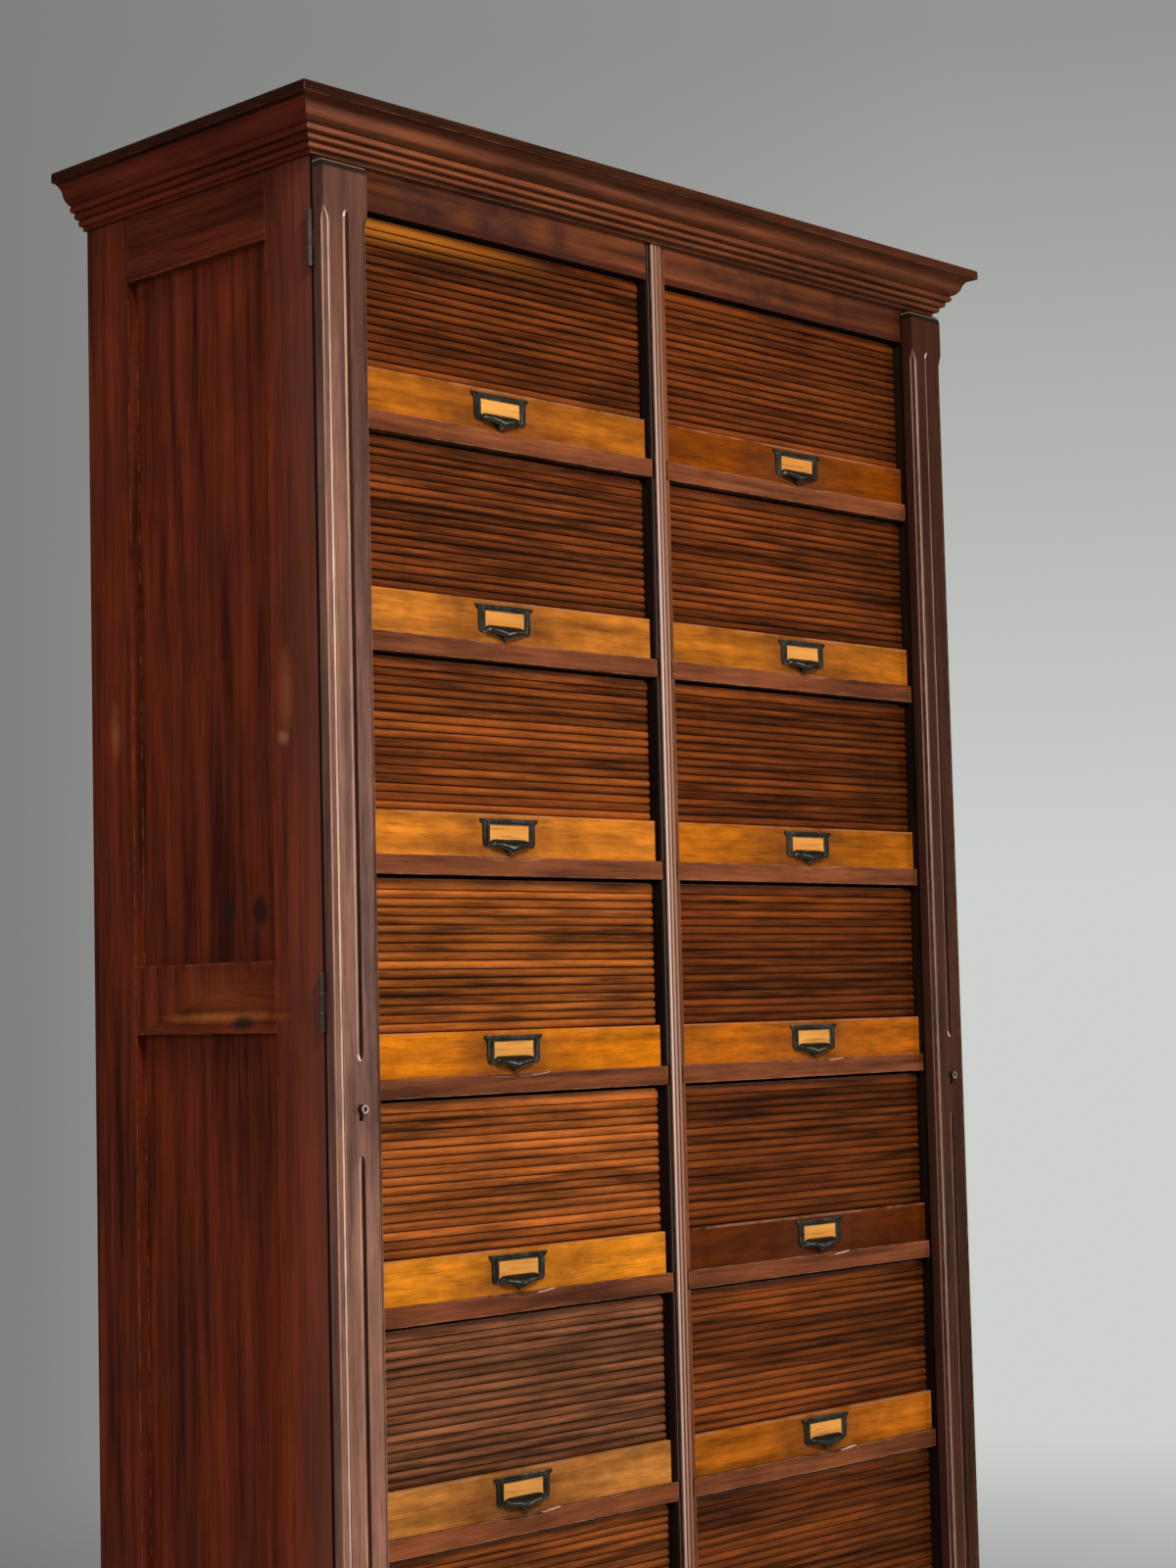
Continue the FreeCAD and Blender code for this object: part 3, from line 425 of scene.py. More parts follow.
def frieze_marks(tree, colour):
    """Purple-dark mottling, darker to the right, and a dark red-brown band along the lower edge."""
    place = part_axes(tree)
    blotch = ramp_node(tree, noise_node(tree, part_place(tree), 17.0, 4.0, 0.6), 0.5, 0.68, 0.0, 0.75)
    colour = colour_mix(tree, blotch, colour, (0.030, 0.011, 0.011))
    fall = ramp_node(tree, place["X"], 0.02, 0.36, 1.0, 0.45)
    colour = colour_mix(tree, 1.0, colour, fall, "MULTIPLY")
    band = ramp_node(tree, place["Z"], 1.5668, 1.5640, 0.0, 0.8)
    low = times(tree, band, maths(tree, "GREATER_THAN", place["Z"], 1.5))
    return colour_mix(tree, low, colour, (0.045, 0.011, 0.006))


frieze_wood = wood("frieze_wood", (0.044, 0.0125, 0.0055), (0.20, 0.055, 0.019), "x", gloss=0.34,
                   pale_arris_colour=(0.44, 0.2, 0.09), pale_arris_amount=0.5, arris=0.0015, marks=frieze_marks)


def cornice_marks(tree, colour):
    """A painted sheen towards the cornice's left end, and darker towards its right."""
    place = part_axes(tree)
    fall = ramp_node(tree, place["X"], -0.40, 0.42, 1.08, 0.55)
    colour = colour_mix(tree, 1.0, colour, fall, "MULTIPLY")
    # Painted sheen: paler towards the left end.
    left_sheen = ramp_node(tree, place["X"], -0.25, -0.44, 0.0, 0.4)
    return colour_mix(tree, left_sheen, colour, (0.25, 0.085, 0.050))


cornice_wood = wood("cornice_wood", (0.062, 0.0155, 0.0052), (0.33, 0.088, 0.028), "x", gloss=0.36,
                    pale_arris_colour=(0.5, 0.24, 0.12), pale_arris_amount=0.45, grime=0.4, shine=0.06,
                    marks=cornice_marks)
fascia_wood = wood("cornice_fascia_wood", (0.024, 0.0072, 0.003), (0.100, 0.0285, 0.011), "x", gloss=0.4,
                   pale_arris_colour=(0.4, 0.2, 0.1), pale_arris_amount=0.5, arris=0.0012)
under_wood = wood("cornice_under_wood", (0.060, 0.0190, 0.0085), (0.190, 0.060, 0.026), "x", gloss=0.6)
# Darker copies for the cornice's returns and the plinth's ends: painted shade on the faces that look
# sideways.
return_wood = wood("cornice_return_wood", (0.030, 0.0048, 0.0022), (0.130, 0.0200, 0.0085), "y", gloss=0.45,
                   pale_arris_colour=(0.26, 0.09, 0.04), pale_arris_amount=0.4)
return_fascia = wood("return_fascia_wood", (0.007, 0.0020, 0.0010), (0.030, 0.0070, 0.0030), "y", gloss=0.45,
                     pale_arris_colour=(0.26, 0.09, 0.04), pale_arris_amount=0.4)
inner_wood = wood("inner_wood", (0.045, 0.015, 0.006), (0.13, 0.043, 0.016), "y", gloss=0.6, grime=0.5)
cross_wood = wood("inner_cross_wood", (0.045, 0.015, 0.006), (0.13, 0.043, 0.016), "x", gloss=0.6,
                  grime=0.5)
# A near-black wood for faces that lie in deep shade: painted shade.
painted_shade_wood = wood("painted_shade_wood", (0.005, 0.0022, 0.0015), (0.016, 0.0065, 0.0035), "z", gloss=0.75,
                  grime=0.7)


def reed_marks(tree, colour):
    """Painted highlights on the three reeds' crests, painted shade in the quirks between them, and a painted
    shadow with a thin painted highlight on the left margin.
    """
    place = part_axes(tree)
    crest_y = FRONT_Y - REED_FOOT - REED_RISE
    crest = ramp_node(tree, place["Y"], crest_y + 0.0005, crest_y)
    quirk = ramp_node(tree, place["Y"], FRONT_Y - 0.0009, FRONT_Y - REED_FOOT)
    on_reeds = maths(tree, "LESS_THAN", maths(tree, "ABSOLUTE", place["X"]), REED_SPAN)
    lit = times(tree, ramp_node(tree, place["Z"], 1.25, 1.55, 1.0, 0.5),
                ramp_node(tree, place["Z"], 0.45, 0.85, 0.6, 1.0))
    tint = colour_mix(tree, maths(tree, "GREATER_THAN", place["X"], -REED_WIDE / 2), (0.70, 0.50, 0.42),
                      (0.48, 0.27, 0.19))
    tint = colour_mix(tree, maths(tree, "GREATER_THAN", place["X"], REED_WIDE / 2), tint, (0.34, 0.18, 0.12))
    # Painted shadow over the left margin, with a thin painted highlight line across it.
    margin = times(tree, maths(tree, "LESS_THAN", place["X"], -REED_SPAN),
                   maths(tree, "GREATER_THAN", place["X"], -DIVIDER_EDGE))
    colour = colour_mix(tree, times(tree, margin, 0.96), colour, (0.004, 0.002, 0.0015))
    off_line = maths(tree, "ABSOLUTE", maths(tree, "ADD", place["X"], MARGIN_LINE))
    line = times(tree, margin, ramp_node(tree, off_line, 0.0004, 0.0002, 0.0, 0.6))
    colour = colour_mix(tree, line, colour, (0.20, 0.13, 0.10))
    colour = colour_mix(tree, times(tree, on_reeds, 0.5), colour, (0.06, 0.021, 0.012))
    # Painted highlights on the crests, palest on the left reed and fading towards the top and the foot.
    rubbed = times(tree, crest, times(tree, on_reeds, lit))
    colour = colour_mix(tree, rubbed, colour, tint)
    # Painted shade in the quirks between the reeds.
    quirk_shade = times(tree, quirk, times(tree, on_reeds, 0.93))
    return colour_mix(tree, quirk_shade, colour, (0.014, 0.006, 0.004))


case_front = wood("case_front_wood", (0.07, 0.019, 0.008), (0.25, 0.072, 0.024), "z", gloss=0.3,
                  pale_arris_colour=(0.62, 0.42, 0.29), pale_arris_amount=0.6, arris=0.0012, shine=0.05,
                  marks=reed_marks)


def split_faces(name, materials, choose):
    """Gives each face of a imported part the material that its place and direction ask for."""
    part = nodes[name]
    for material in materials:
        part.data.materials.append(material)
    for face in part.data.polygons:
        face.material_index = choose(face.center, face.normal)


def side_face(c, n):
    """0 stiles, panels and inner faces, 1 the front edge behind the pilaster in painted shade, 2 the rails'
    outer faces.
    """
    if n.y < -0.5 and c.y < FRONT_Y + 0.0015:
        return 1
    on_rail = c.z < 0.18 or 0.837 < c.z < 0.927 or c.z > 1.52
    between = FRONT_Y + 0.0575 < c.y < FRONT_Y + 0.2425
    return 2 if on_rail and between and abs(c.x) > CASE_HALF - 0.0005 else 0


for name in ("side_left", "side_right"):
    refinish(name, case_side, 0.0008)
    split_faces(name, (painted_shade_wood, side_rail), side_face)
refinish("drawer_walls", case_front, 0.0007)
# The walls' faces other than their fronts take painted shade.
split_faces("drawer_walls", (painted_shade_wood,), lambda c, n: 0 if n.y < -0.5 and c.y < FRONT_Y + 0.0005 else 1)
refinish("carcass_boards", inner_wood, 0.0006)
split_faces("carcass_boards", (cross_wood,), lambda c, n: 1 if abs(n.y) > 0.5 else 0)


def rails_shape():
    """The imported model's friezes and bottom rails, with the divider's three reeds worked almost flush."""
    bm = bmesh.new()
    bm.from_mesh(nodes["front_rails"].data)
    bmesh.ops.transform(bm, matrix=nodes["front_rails"].matrix_world, verts=bm.verts)
    bmesh.ops.remove_doubles(bm, verts=bm.verts, dist=0.00001)
    strip = [vert for vert in bm.verts if abs(vert.co.x) < 0.010]
    low, high = min(vert.co.z for vert in strip), max(vert.co.z for vert in strip)
    bmesh.ops.delete(bm, geom=strip, context="VERTS")
    outline = [(-REED_SPAN, 0.0), (REED_SPAN, 0.0)]
    for reed in (1, 0, -1):
        for step in range(9 if reed > -1 else 10):
            way = math.cos(math.pi * step / 9)
            proud = REED_FOOT + REED_RISE * math.sqrt(max(0.0, 1 - way * way))
            outline.append((REED_WIDE * reed + REED_WIDE / 2 * way, proud))
    edges = ring_of(bm, [(x, FRONT_Y - proud, low) for x, proud in outline])
    foot = bmesh.ops.contextual_create(bm, geom=edges)["faces"]
    grown = bmesh.ops.extrude_face_region(bm, geom=foot, use_keep_orig=True)["geom"]
    bmesh.ops.translate(bm, vec=(0, 0, high - low), verts=verts_of(grown))
    bmesh.ops.recalc_face_normals(bm, faces=bm.faces)
    # Undersides and back faces of the friezes and rails take painted shade.
    for face in bm.faces:
        if abs(face.calc_center_median().x) > 0.0125:
            face.material_index = 2 if face.normal.z < -0.5 or face.normal.y > 0.5 else 1
    return bm


finish_piece("rails_and_reeds", rails_shape(), [case_front, frieze_wood, painted_shade_wood], "case",
             ("front_rails",), smooth=40)
refinish("plinth", case_rail, 0.0015)
# The plinth's ends take the darker return wood: painted shade.
split_faces("plinth", (return_wood,), lambda c, n: 1 if abs(n.x) > 0.5 else 0)
refinish("cornice", cornice_wood)


def cornice_face(c, n):
    """0 mouldings of the front, 1 its fascia, 2 mouldings of the returns, 3 undersides, 4 returns' fascia;
    the returns carry painted shade.
    """
    if abs(n.x) > 0.05 and abs(n.y) < 0.05:
        return 4 if c.z > FASCIA_FOOT else 2
    if n.z < -0.6:
        return 2 if abs(c.x) > CASE_HALF and c.y > FRONT_Y else 3
    return 1 if c.z > FASCIA_FOOT and n.y < -0.6 else 0


split_faces("cornice", (fascia_wood, return_wood, under_wood, return_fascia), cornice_face)

# --- Pilasters --------------------------------------------------------------------------------
# Hinged uprights over the drawer ends, each shaped from one stick: a plain block at each end, and
# between them beaded chamfers and a flute that breaks at the lock. Their arrises and bead crests are pale,
# partly wear and partly painted highlight, and the quirks and the flute's far side carry painted shade.
PIL_BACK, PIL_DEEP, PIL_HALF, PIL_MIDDLE = -0.1331, 0.0132, 0.0232, 0.3818
PIL_FOOT, PIL_TOP, CAP_FRONT = 0.092, 1.5915, 1.5815
LOCK_Z, FLUTE_FOOT, FLUTE_BELOW, FLUTE_ABOVE, FLUTE_TOP = 0.8345, 0.124, 0.7985, 0.872, 1.5495
CHAMFER_FOOT, CHAMFER_TOP, RUN_OUT = 0.117, 1.552, 0.014
HINGE_FEET = (0.1355, 0.895, 1.502)
# Points of a chamfer in mm, in from its edge and down from the front, and of half a flute from its lip.
CHAMFER = ((0.0, 3.4), (0.25, 2.75), (0.8, 2.45), (1.4, 2.75), (1.65, 3.2), (2.8, 2.35), (3.9, 1.5),
           (4.1, 1.65), (4.3, 0.95), (4.9, 0.35), (5.5, 0.1), (5.75, 0.35), (6.0, 0.35), (6.2, 0.1),
           (6.75, 0.0))
FLUTE = ((3.3, 0.0), (3.0, 1.0), (1.8, 2.1), (1.2, 2.3))


def pilaster_shades(tree, colour):
    """Painted shade on the upper end and the flanks, a painted shadow along the back, dirt and painted shadow
    on the rounded cap, and a pale line on the cap.
    """
    place = part_axes(tree)
    # Painted shade: darker towards the upper end, where the sheen lower down fades.
    colour = colour_mix(tree, ramp_node(tree, place["Z"], 1.25, 1.56, 0.0, 0.62), colour,
                        (0.045, 0.012, 0.006))
    # Painted shade on the flanks.
    across = maths(tree, "SUBTRACT", maths(tree, "ABSOLUTE", place["X"]), PIL_MIDDLE)
    flank = maths(tree, "GREATER_THAN", maths(tree, "ABSOLUTE", across), PIL_HALF - 0.0003)
    colour = colour_mix(tree, times(tree, flank, 0.55), colour, (0.030, 0.010, 0.008))
    # Painted shadow along the back, where the gap by the case side lies in shade.
    behind = ramp_node(tree, place["Y"], PIL_BACK - 0.0012, PIL_BACK - 0.0005, 0.0, 0.9)
    colour = colour_mix(tree, behind, colour, (0.006, 0.003, 0.002))
    # Dark on the rounded cap: partly dirt, partly the cornice's painted shadow.
    colour = colour_mix(tree, ramp_node(tree, place["Z"], 1.5812, 1.5830, 0.0, 0.93), colour,
                        (0.012, 0.0075, 0.0045))
    line = times(tree, ramp_node(tree, place["Z"], 1.5868, 1.5871),
                 ramp_node(tree, place["Z"], 1.5880, 1.5877, 0.0, 0.8))
    return colour_mix(tree, line, colour, (0.26, 0.18, 0.13))


# Pale woods for the bead crests, chamfer arrises and the flute's near side: partly wear, partly painted
# highlight. The right pilaster's are half as bright: painted shade.
bead_wear_and_highlight_woods = {
    side: [wood("pilaster_%s_%s" % (place, side), scaled(dark, share), scaled(light, share), "z", gloss=0.26,
                shine=0.3 * share)
           for place, dark, light in (("bead", (0.20, 0.095, 0.06), (0.50, 0.27, 0.18)),
                                      ("inner_bead", (0.42, 0.24, 0.17), (0.80, 0.52, 0.40)))]
    for side, share in (("left", 1.0), ("right", 0.5))}
# A painted highlight on the flute's upper tips and the scoop's end.
tip_highlight_wood = wood("flute_tip_wood", (0.50, 0.33, 0.25), (0.85, 0.68, 0.56), "z", gloss=0.26,
                grime=0.1, shine=0.3)
# Painted shade for the flute's far side and the chamfers' quirks.
flute_shade = wood("flute_dark_wood", (0.018, 0.006, 0.004), (0.060, 0.022, 0.014), "z", gloss=0.4)


def chamfer_share(height):
    """How much of its full size the chamfer has at one height: it runs out at both ends."""
    run = ((height - CHAMFER_FOOT) / RUN_OUT, (CHAMFER_TOP - height) / RUN_OUT)
    shares = [min(max(share, 0.0), 1.0) for share in run]
    return math.prod(share * share * (3 - 2 * share) for share in shares)


def stick_section(height):
    """The pilaster's outline at one height: across from the hinge side, and depth from its back."""
    cut = chamfer_share(height)

    def groove(low, high):
        near = min((height - low) / 0.0065, (high - height) / 0.0065)
        return math.sqrt(max(0.0, 1 - (1 - min(max(near, 0.0), 1.0)) ** 2))

    hollow = max(groove(FLUTE_FOOT, FLUTE_BELOW), groove(FLUTE_ABOVE, FLUTE_TOP))
    rise = min(max(height - CAP_FRONT, 0.0) / (PIL_TOP - CAP_FRONT), 1.0)
    front = PIL_DEEP - 0.0098 * (1 - math.sqrt(1 - rise * rise))
    wide = 0.0001 + 0.0009 * hollow
    points = [(-PIL_HALF, 0.0)]
    points += [(-PIL_HALF + x * 0.001 * cut, front - y * 0.001 * cut) for x, y in CHAMFER]
    points += [(-x * wide, front - y * 0.001 * hollow) for x, y in FLUTE]
    points += [(x * wide, front - y * 0.001 * hollow) for x, y in reversed(FLUTE)]
    points += [(PIL_HALF - x * 0.001 * cut, front - y * 0.001 * cut) for x, y in reversed(CHAMFER)]
    return points + [(PIL_HALF, 0.0)]


def pilaster_stick(side):
    """Bridges the sections from foot to cap, then mirrors the stick for the other side."""
    bm = bmesh.new()
    heights = [PIL_FOOT, 0.1165, 0.119, 0.1215, 0.124, 0.1265, 0.129, 0.1315, 0.40]
    ends = (0.0068, 0.0048, 0.0032, 0.0019, 0.0009, 0.0003, -0.0002)
    heights += [FLUTE_BELOW - step for step in ends] + [FLUTE_ABOVE + step for step in reversed(ends)]
    heights += [1.2, 1.5375, 1.540, 1.5425, 1.5447, 1.5463, 1.5476, 1.5486, 1.5492, 1.5497, 1.5525]
    heights += [CAP_FRONT + 0.001 * rise for rise in (0.0, 1.8, 3.6, 5.3, 6.8, 8.0, 8.9, 9.5, 9.85, 10.0)]
    rings = []
    for height in heights:
        rings.append(ring_of(bm, [(x, PIL_BACK - depth, height) for x, depth in stick_section(height)]))
    for lower, upper in zip(rings, rings[1:]):
        bmesh.ops.bridge_loops(bm, edges=lower + upper)
    bmesh.ops.contextual_create(bm, geom=rings[0])
    bmesh.ops.contextual_create(bm, geom=rings[-1])
    bmesh.ops.remove_doubles(bm, verts=bm.verts, dist=0.00001)
    bmesh.ops.dissolve_degenerate(bm, edges=bm.edges, dist=0.000002)
    if side > 0:
        bmesh.ops.scale(bm, vec=(-1, 1, 1), verts=bm.verts)
    bmesh.ops.recalc_face_normals(bm, faces=bm.faces)
    # Back faces take painted shade; the pale faces of the flute, beads and chamfers are partly wear and
    # partly painted highlight, on one side only, and the quirks and the flute's far side take painted shade.
    for face in bm.faces:
        middle, facing = face.calc_center_median(), face.normal
        from_edge = (PIL_HALF - abs(middle.x)) / max(chamfer_share(middle.z), 0.12)
        if facing.y > 0.5:
            face.material_index = 2
        if not 0.119 < middle.z < 1.5505 or facing.y > -0.05:
            continue
        flute = abs(middle.x) < 0.0034 and middle.y > PIL_BACK - PIL_DEEP + 0.0001
        if flute:
            tip = min(middle.z - FLUTE_ABOVE, FLUTE_TOP - middle.z)
            face.material_index = 1 if middle.x < 0.0013 else 4
            if 0 < tip < 0.0055 and (middle.x < 0.0013 or tip < 0.0012):
                face.material_index = 3
        elif middle.x < 0 and (0.00002 < from_edge < 0.00142 or 0.0062 < from_edge < 0.0067):
            face.material_index = 1
        elif middle.x < 0 and 0.0043 < from_edge < 0.0056:
            face.material_index = 5
        elif 0.0014 < from_edge < 0.0017 or 0.0039 < from_edge < 0.0041 or 0.0057 < from_edge < 0.0061:
            face.material_index = 4
    bmesh.ops.translate(bm, vec=(side * PIL_MIDDLE, 0, 0), verts=bm.verts)
    return bm


def lock_and_hinge_cuts(side):
    """What is cut from the stick: lock mortise, keyhole and the beds of the hinge leaves."""
    bm = bmesh.new()
    middle, front = side * PIL_MIDDLE, PIL_BACK - PIL_DEEP
    board(bm, (middle - 0.0122, PIL_BACK - 0.0092, LOCK_Z - 0.0292),
          (middle + 0.0122, PIL_BACK + 0.001, LOCK_Z + 0.0292))
    made = bmesh.ops.create_cone(bm, cap_ends=True, segments=28, radius1=0.0038, radius2=0.0038,
                                 depth=0.012)["verts"]
    bmesh.ops.rotate(bm, cent=(0, 0, 0), matrix=Matrix.Rotation(math.pi / 2, 3, "X"), verts=made)
    bmesh.ops.translate(bm, vec=(middle, front + 0.004, LOCK_Z), verts=made)
    board(bm, (middle - 0.0021, front - 0.002, LOCK_Z - 0.0092),
          (middle + 0.0021, front + 0.010, LOCK_Z - 0.001))
    outer = side * CASE_HALF
    for foot in HINGE_FEET:
        ends = sorted((outer + side * 0.003, outer - side * 0.0134))
        board(bm, (ends[0], PIL_BACK - 0.00105, foot - 0.0004), (ends[1], PIL_BACK + 0.001, foot + 0.0464))
    return bm


# The left stick's wood is a lighter copy carrying a painted sheen, and the right stick's a much darker copy:
# painted shade.
for name, side, dark, light, shine in (("left", -1, (0.088, 0.035, 0.022), (0.345, 0.152, 0.100), 0.15),
                                       ("right", 1, (0.020, 0.0075, 0.0038), (0.074, 0.0255, 0.0130), 0.04)):
    pilaster_wood = wood("pilaster_wood_" + name, dark, light, "z", gloss=0.36, pale_arris_colour=(0.5, 0.28, 0.18),
                         pale_arris_amount=0.5, arris=0.0011, shine=shine, marks=pilaster_shades,
                         shift=(side * 2.0, 0.0, side * 3.0))
    stick = finish_piece("stick_" + name, pilaster_stick(side),
                         [pilaster_wood, bead_wear_and_highlight_woods[name][0], painted_shade_wood, tip_highlight_wood, flute_shade,
                          bead_wear_and_highlight_woods[name][1]], "pilaster_" + name, ("pilaster_" + name,))
    cuts = mesh_object("cuts_" + name, lock_and_hinge_cuts(side))
    carve = stick.modifiers.new("carve", "BOOLEAN")
    carve.object, carve.operation, carve.solver, carve.use_self = cuts, "DIFFERENCE", "EXACT", True
    carved = bpy.data.meshes.new_from_object(stick.evaluated_get(bpy.context.evaluated_depsgraph_get()))
    stick.modifiers.clear()
    stick.data = carved
    carved.shade_smooth()
    carved.set_sharp_from_angle(angle=math.radians(24))
    bpy.data.objects.remove(cuts)


# --- Hinges and locks -------------------------------------------------------------------------
# Brass butt hinges dulled to a brown skin, brighter on their edges, partly rubbed and partly a painted
# highlight.
# The lock's case and pin have the same skin, and only the front ring of the short tube round the pin is
# bright, a painted glint.
def metal(name, base, rub, rough, arris=0.0012, rubbed=0.6):
    """Aged metal, brighter on its edges: partly rubbed, partly a painted highlight."""
    material, tree, shader = new_material(name)
    specks = ramp_node(tree, noise_node(tree, part_place(tree), 260.0, 3.0, 0.6), 0.38, 0.7)
    colour = colour_mix(tree, times(tree, specks, 0.5), base, scaled(base, 0.35))
    colour = worn_and_glinting_edges(tree, colour, rub, rubbed, arris)
    tree.links.new(colour, shader.inputs["Base Color"])
    tree.links.new(maths(tree, "ADD", times(tree, specks, 0.25), rough), shader.inputs["Roughness"])
    shader.inputs["Metallic"].default_value = 0.9
    rough_surface(tree, shader, specks, 0.3, 0.0003)
    return material


hinge_metal = metal("hinge_metal", (0.060, 0.046, 0.034), (0.36, 0.30, 0.22), 0.44)
lock_glint_brass = metal("lock_glint_brass", (0.36, 0.30, 0.23), (0.92, 0.85, 0.72), 0.3, arris=0.0006, rubbed=0.9)
for name in ("hinge_leaves", "fittings_left", "fittings_right"):
    refinish(name, hinge_metal)
    # Only the front faces of the ring round the pin take the bright brass: a painted glint.
    split_faces(name, (lock_glint_brass,), lambda c, n: 1 if n.y < -0.5 and c.y < PIL_BACK - PIL_DEEP - 0.001
                and 0.0019 < math.hypot(abs(c.x) - PIL_MIDDLE, c.z - LOCK_Z) < 0.0035 else 0)

# --- Drawers ----------------------------------------------------------------------------------
# Each drawer has a dull purple-brown ledge with an eased front arris and a shallow scoop under the
# pull, and a low front board of warm orange mahogany, no two boards quite the same shade.
COLUMN_X, ROWS, ROW_PITCH, FIRST_ROW = 0.18635, 8, 0.180, 0.120
DRAWER_Y, HALF_BOX, LEDGE, BOARD_TOP, SLAT_GAP = -0.1312, 0.17165, 0.016, 0.052, 0.0003
PULL_SHIFT = 0.0097
PLACES = [(column, side, row, FIRST_ROW + ROW_PITCH * (ROWS - row))
          for column, side in (("left", -1), ("right", 1)) for row in range(1, ROWS + 1)]
LOW_TINTS = {
    "left": [(0.54, 0.15, 0.010), (0.64, 0.20, 0.020), (0.92, 0.275, 0.020), (0.88, 0.24, 0.003),
             (0.98, 0.31, 0.014), (0.66, 0.24, 0.045), (0.68, 0.21, 0.015), (0.64, 0.2, 0.015)],
    "right": [(0.29, 0.060, 0.001), (0.58, 0.17, 0.012), (0.63, 0.17, 0.005), (0.56, 0.14, 0.005),
              (0.115, 0.022, 0.002), (0.60, 0.16, 0.008), (0.58, 0.155, 0.008), (0.56, 0.15, 0.008)]}
ledge_wood = wood("ledge_wood", (0.070, 0.018, 0.006), (0.30, 0.084, 0.028), "x", gloss=0.42,
                  pale_arris_colour=(0.58, 0.33, 0.2), pale_arris_amount=0.75, grime=0.45, shine=0.04)


def hand_marks(pull_x, pull_z):
    """A low board worn dark round its pull, with curly figure and a rubbed upper edge."""
    def mark(tree, colour):
        place = part_axes(tree)
        wobble = noise_node(tree, part_place(tree), 26.0, 4.0, 0.6)
        far = ragged_distance(tree, (place["X"], pull_x, 0.085), (place["Z"], pull_z, 0.034), wobble, 1.3)
        colour = colour_mix(tree, ramp_node(tree, far, 1.15, 0.35, 0.0, 0.55), colour, (0.10, 0.026, 0.008))
        curl = tree.nodes.new("ShaderNodeMapping")
        curl.inputs["Scale"].default_value = (26.0, 1.0, 75.0)
        curl.inputs["Rotation"].default_value = (0.0, 0.5, 0.0)
        tree.links.new(part_place(tree), curl.inputs["Vector"])
        curly = noise_node(tree, curl.outputs["Vector"], 1.0, 4.0, 0.65)
        curly = ramp_node(tree, curly, 0.35, 0.65, 0.74, 1.18)
        colour = colour_mix(tree, 1.0, colour, curly, "MULTIPLY")
        upper_edge = ramp_node(tree, place["Z"], pull_z + 0.0196, pull_z + 0.0206, 0.0, 0.5)
        rubbed = times(tree, upper_edge, ramp_node(tree, wobble, 0.4, 0.55))
        return colour_mix(tree, rubbed, colour, (0.40, 0.17, 0.09))
    return mark


for column, side, row, bottom in PLACES:
    key = "%s_%d" % (column, row)
    tint = LOW_TINTS[column][row - 1]
    pull_x = side * (COLUMN_X + PULL_SHIFT)
    low_wood = wood("low_board_wood_" + key, scaled(tint, 0.45), tint, "x", gloss=0.34,
                    shift=(row * 3.1, side * 1.7, row * 5.3), shine=0.02,
                    marks=hand_marks(pull_x, bottom + 0.030))
    refinish("drawer_" + key, ledge_wood, 0.0009)

    def board_at(c, n, bottom=bottom, pull_x=pull_x):
        """0 ledge, 1 low board, 2 sides and bottom, 3 painted shade, 4 the scoop's end with a painted
        highlight, 5 what faces front or back.
        """
        # Faces above the board near the front, undersides and the scoop take painted shade; the scoop's right
        # end takes a painted highlight.
        if c.z > bottom + BOARD_TOP + 0.0002 or c.y > DRAWER_Y + 0.016:
            if c.y < DRAWER_Y + 0.02 and c.z > bottom + BOARD_TOP:
                return 3
            return 5 if abs(n.y) > 0.5 else 2
        if c.z > bottom + LEDGE + 0.0002:
            return 1
        scoop = c.y < DRAWER_Y + 0.0035 and 0.3 < n.z and c.z < bottom + LEDGE - 0.00005
        if scoop and c.x > pull_x + 0.022:
            return 4
        return 3 if n.z < -0.5 or scoop else 0
    split_faces("drawer_" + key, (low_wood, inner_wood, painted_shade_wood, tip_highlight_wood, cross_wood), board_at)

# --- Curtains ---------------------------------------------------------------------------------
# A curtain is a row of half-round slats glued side by side on cloth. It stands behind the low board,
# rolls over at the top and runs back in grooves. The joints between slats hold dark dirt, and painted
# shade reaches further over the lower side of each joint.
SLATS, SLAT_PITCH, SLAT_WIDE, SLAT_DEEP = 17, 0.00724, 0.00704, 0.0036
CREST, LATH, CURTAIN_TOP = 0.0075, 0.0091, 0.1772
CURTAIN_TINTS = {
    "left": [(0.190, 0.040, 0.0045), (0.23, 0.051, 0.0075), (0.262, 0.060, 0.0085), (0.37, 0.095, 0.0135),
             (0.395, 0.101, 0.0165), (0.216, 0.074, 0.029), (0.28, 0.07, 0.012), (0.27, 0.065, 0.01)],
    "right": [(0.20, 0.042, 0.005), (0.20, 0.042, 0.005), (0.20, 0.042, 0.005), (0.19, 0.04, 0.005),
              (0.19, 0.042, 0.006), (0.2, 0.046, 0.007), (0.2, 0.046, 0.007), (0.2, 0.046, 0.007)]}


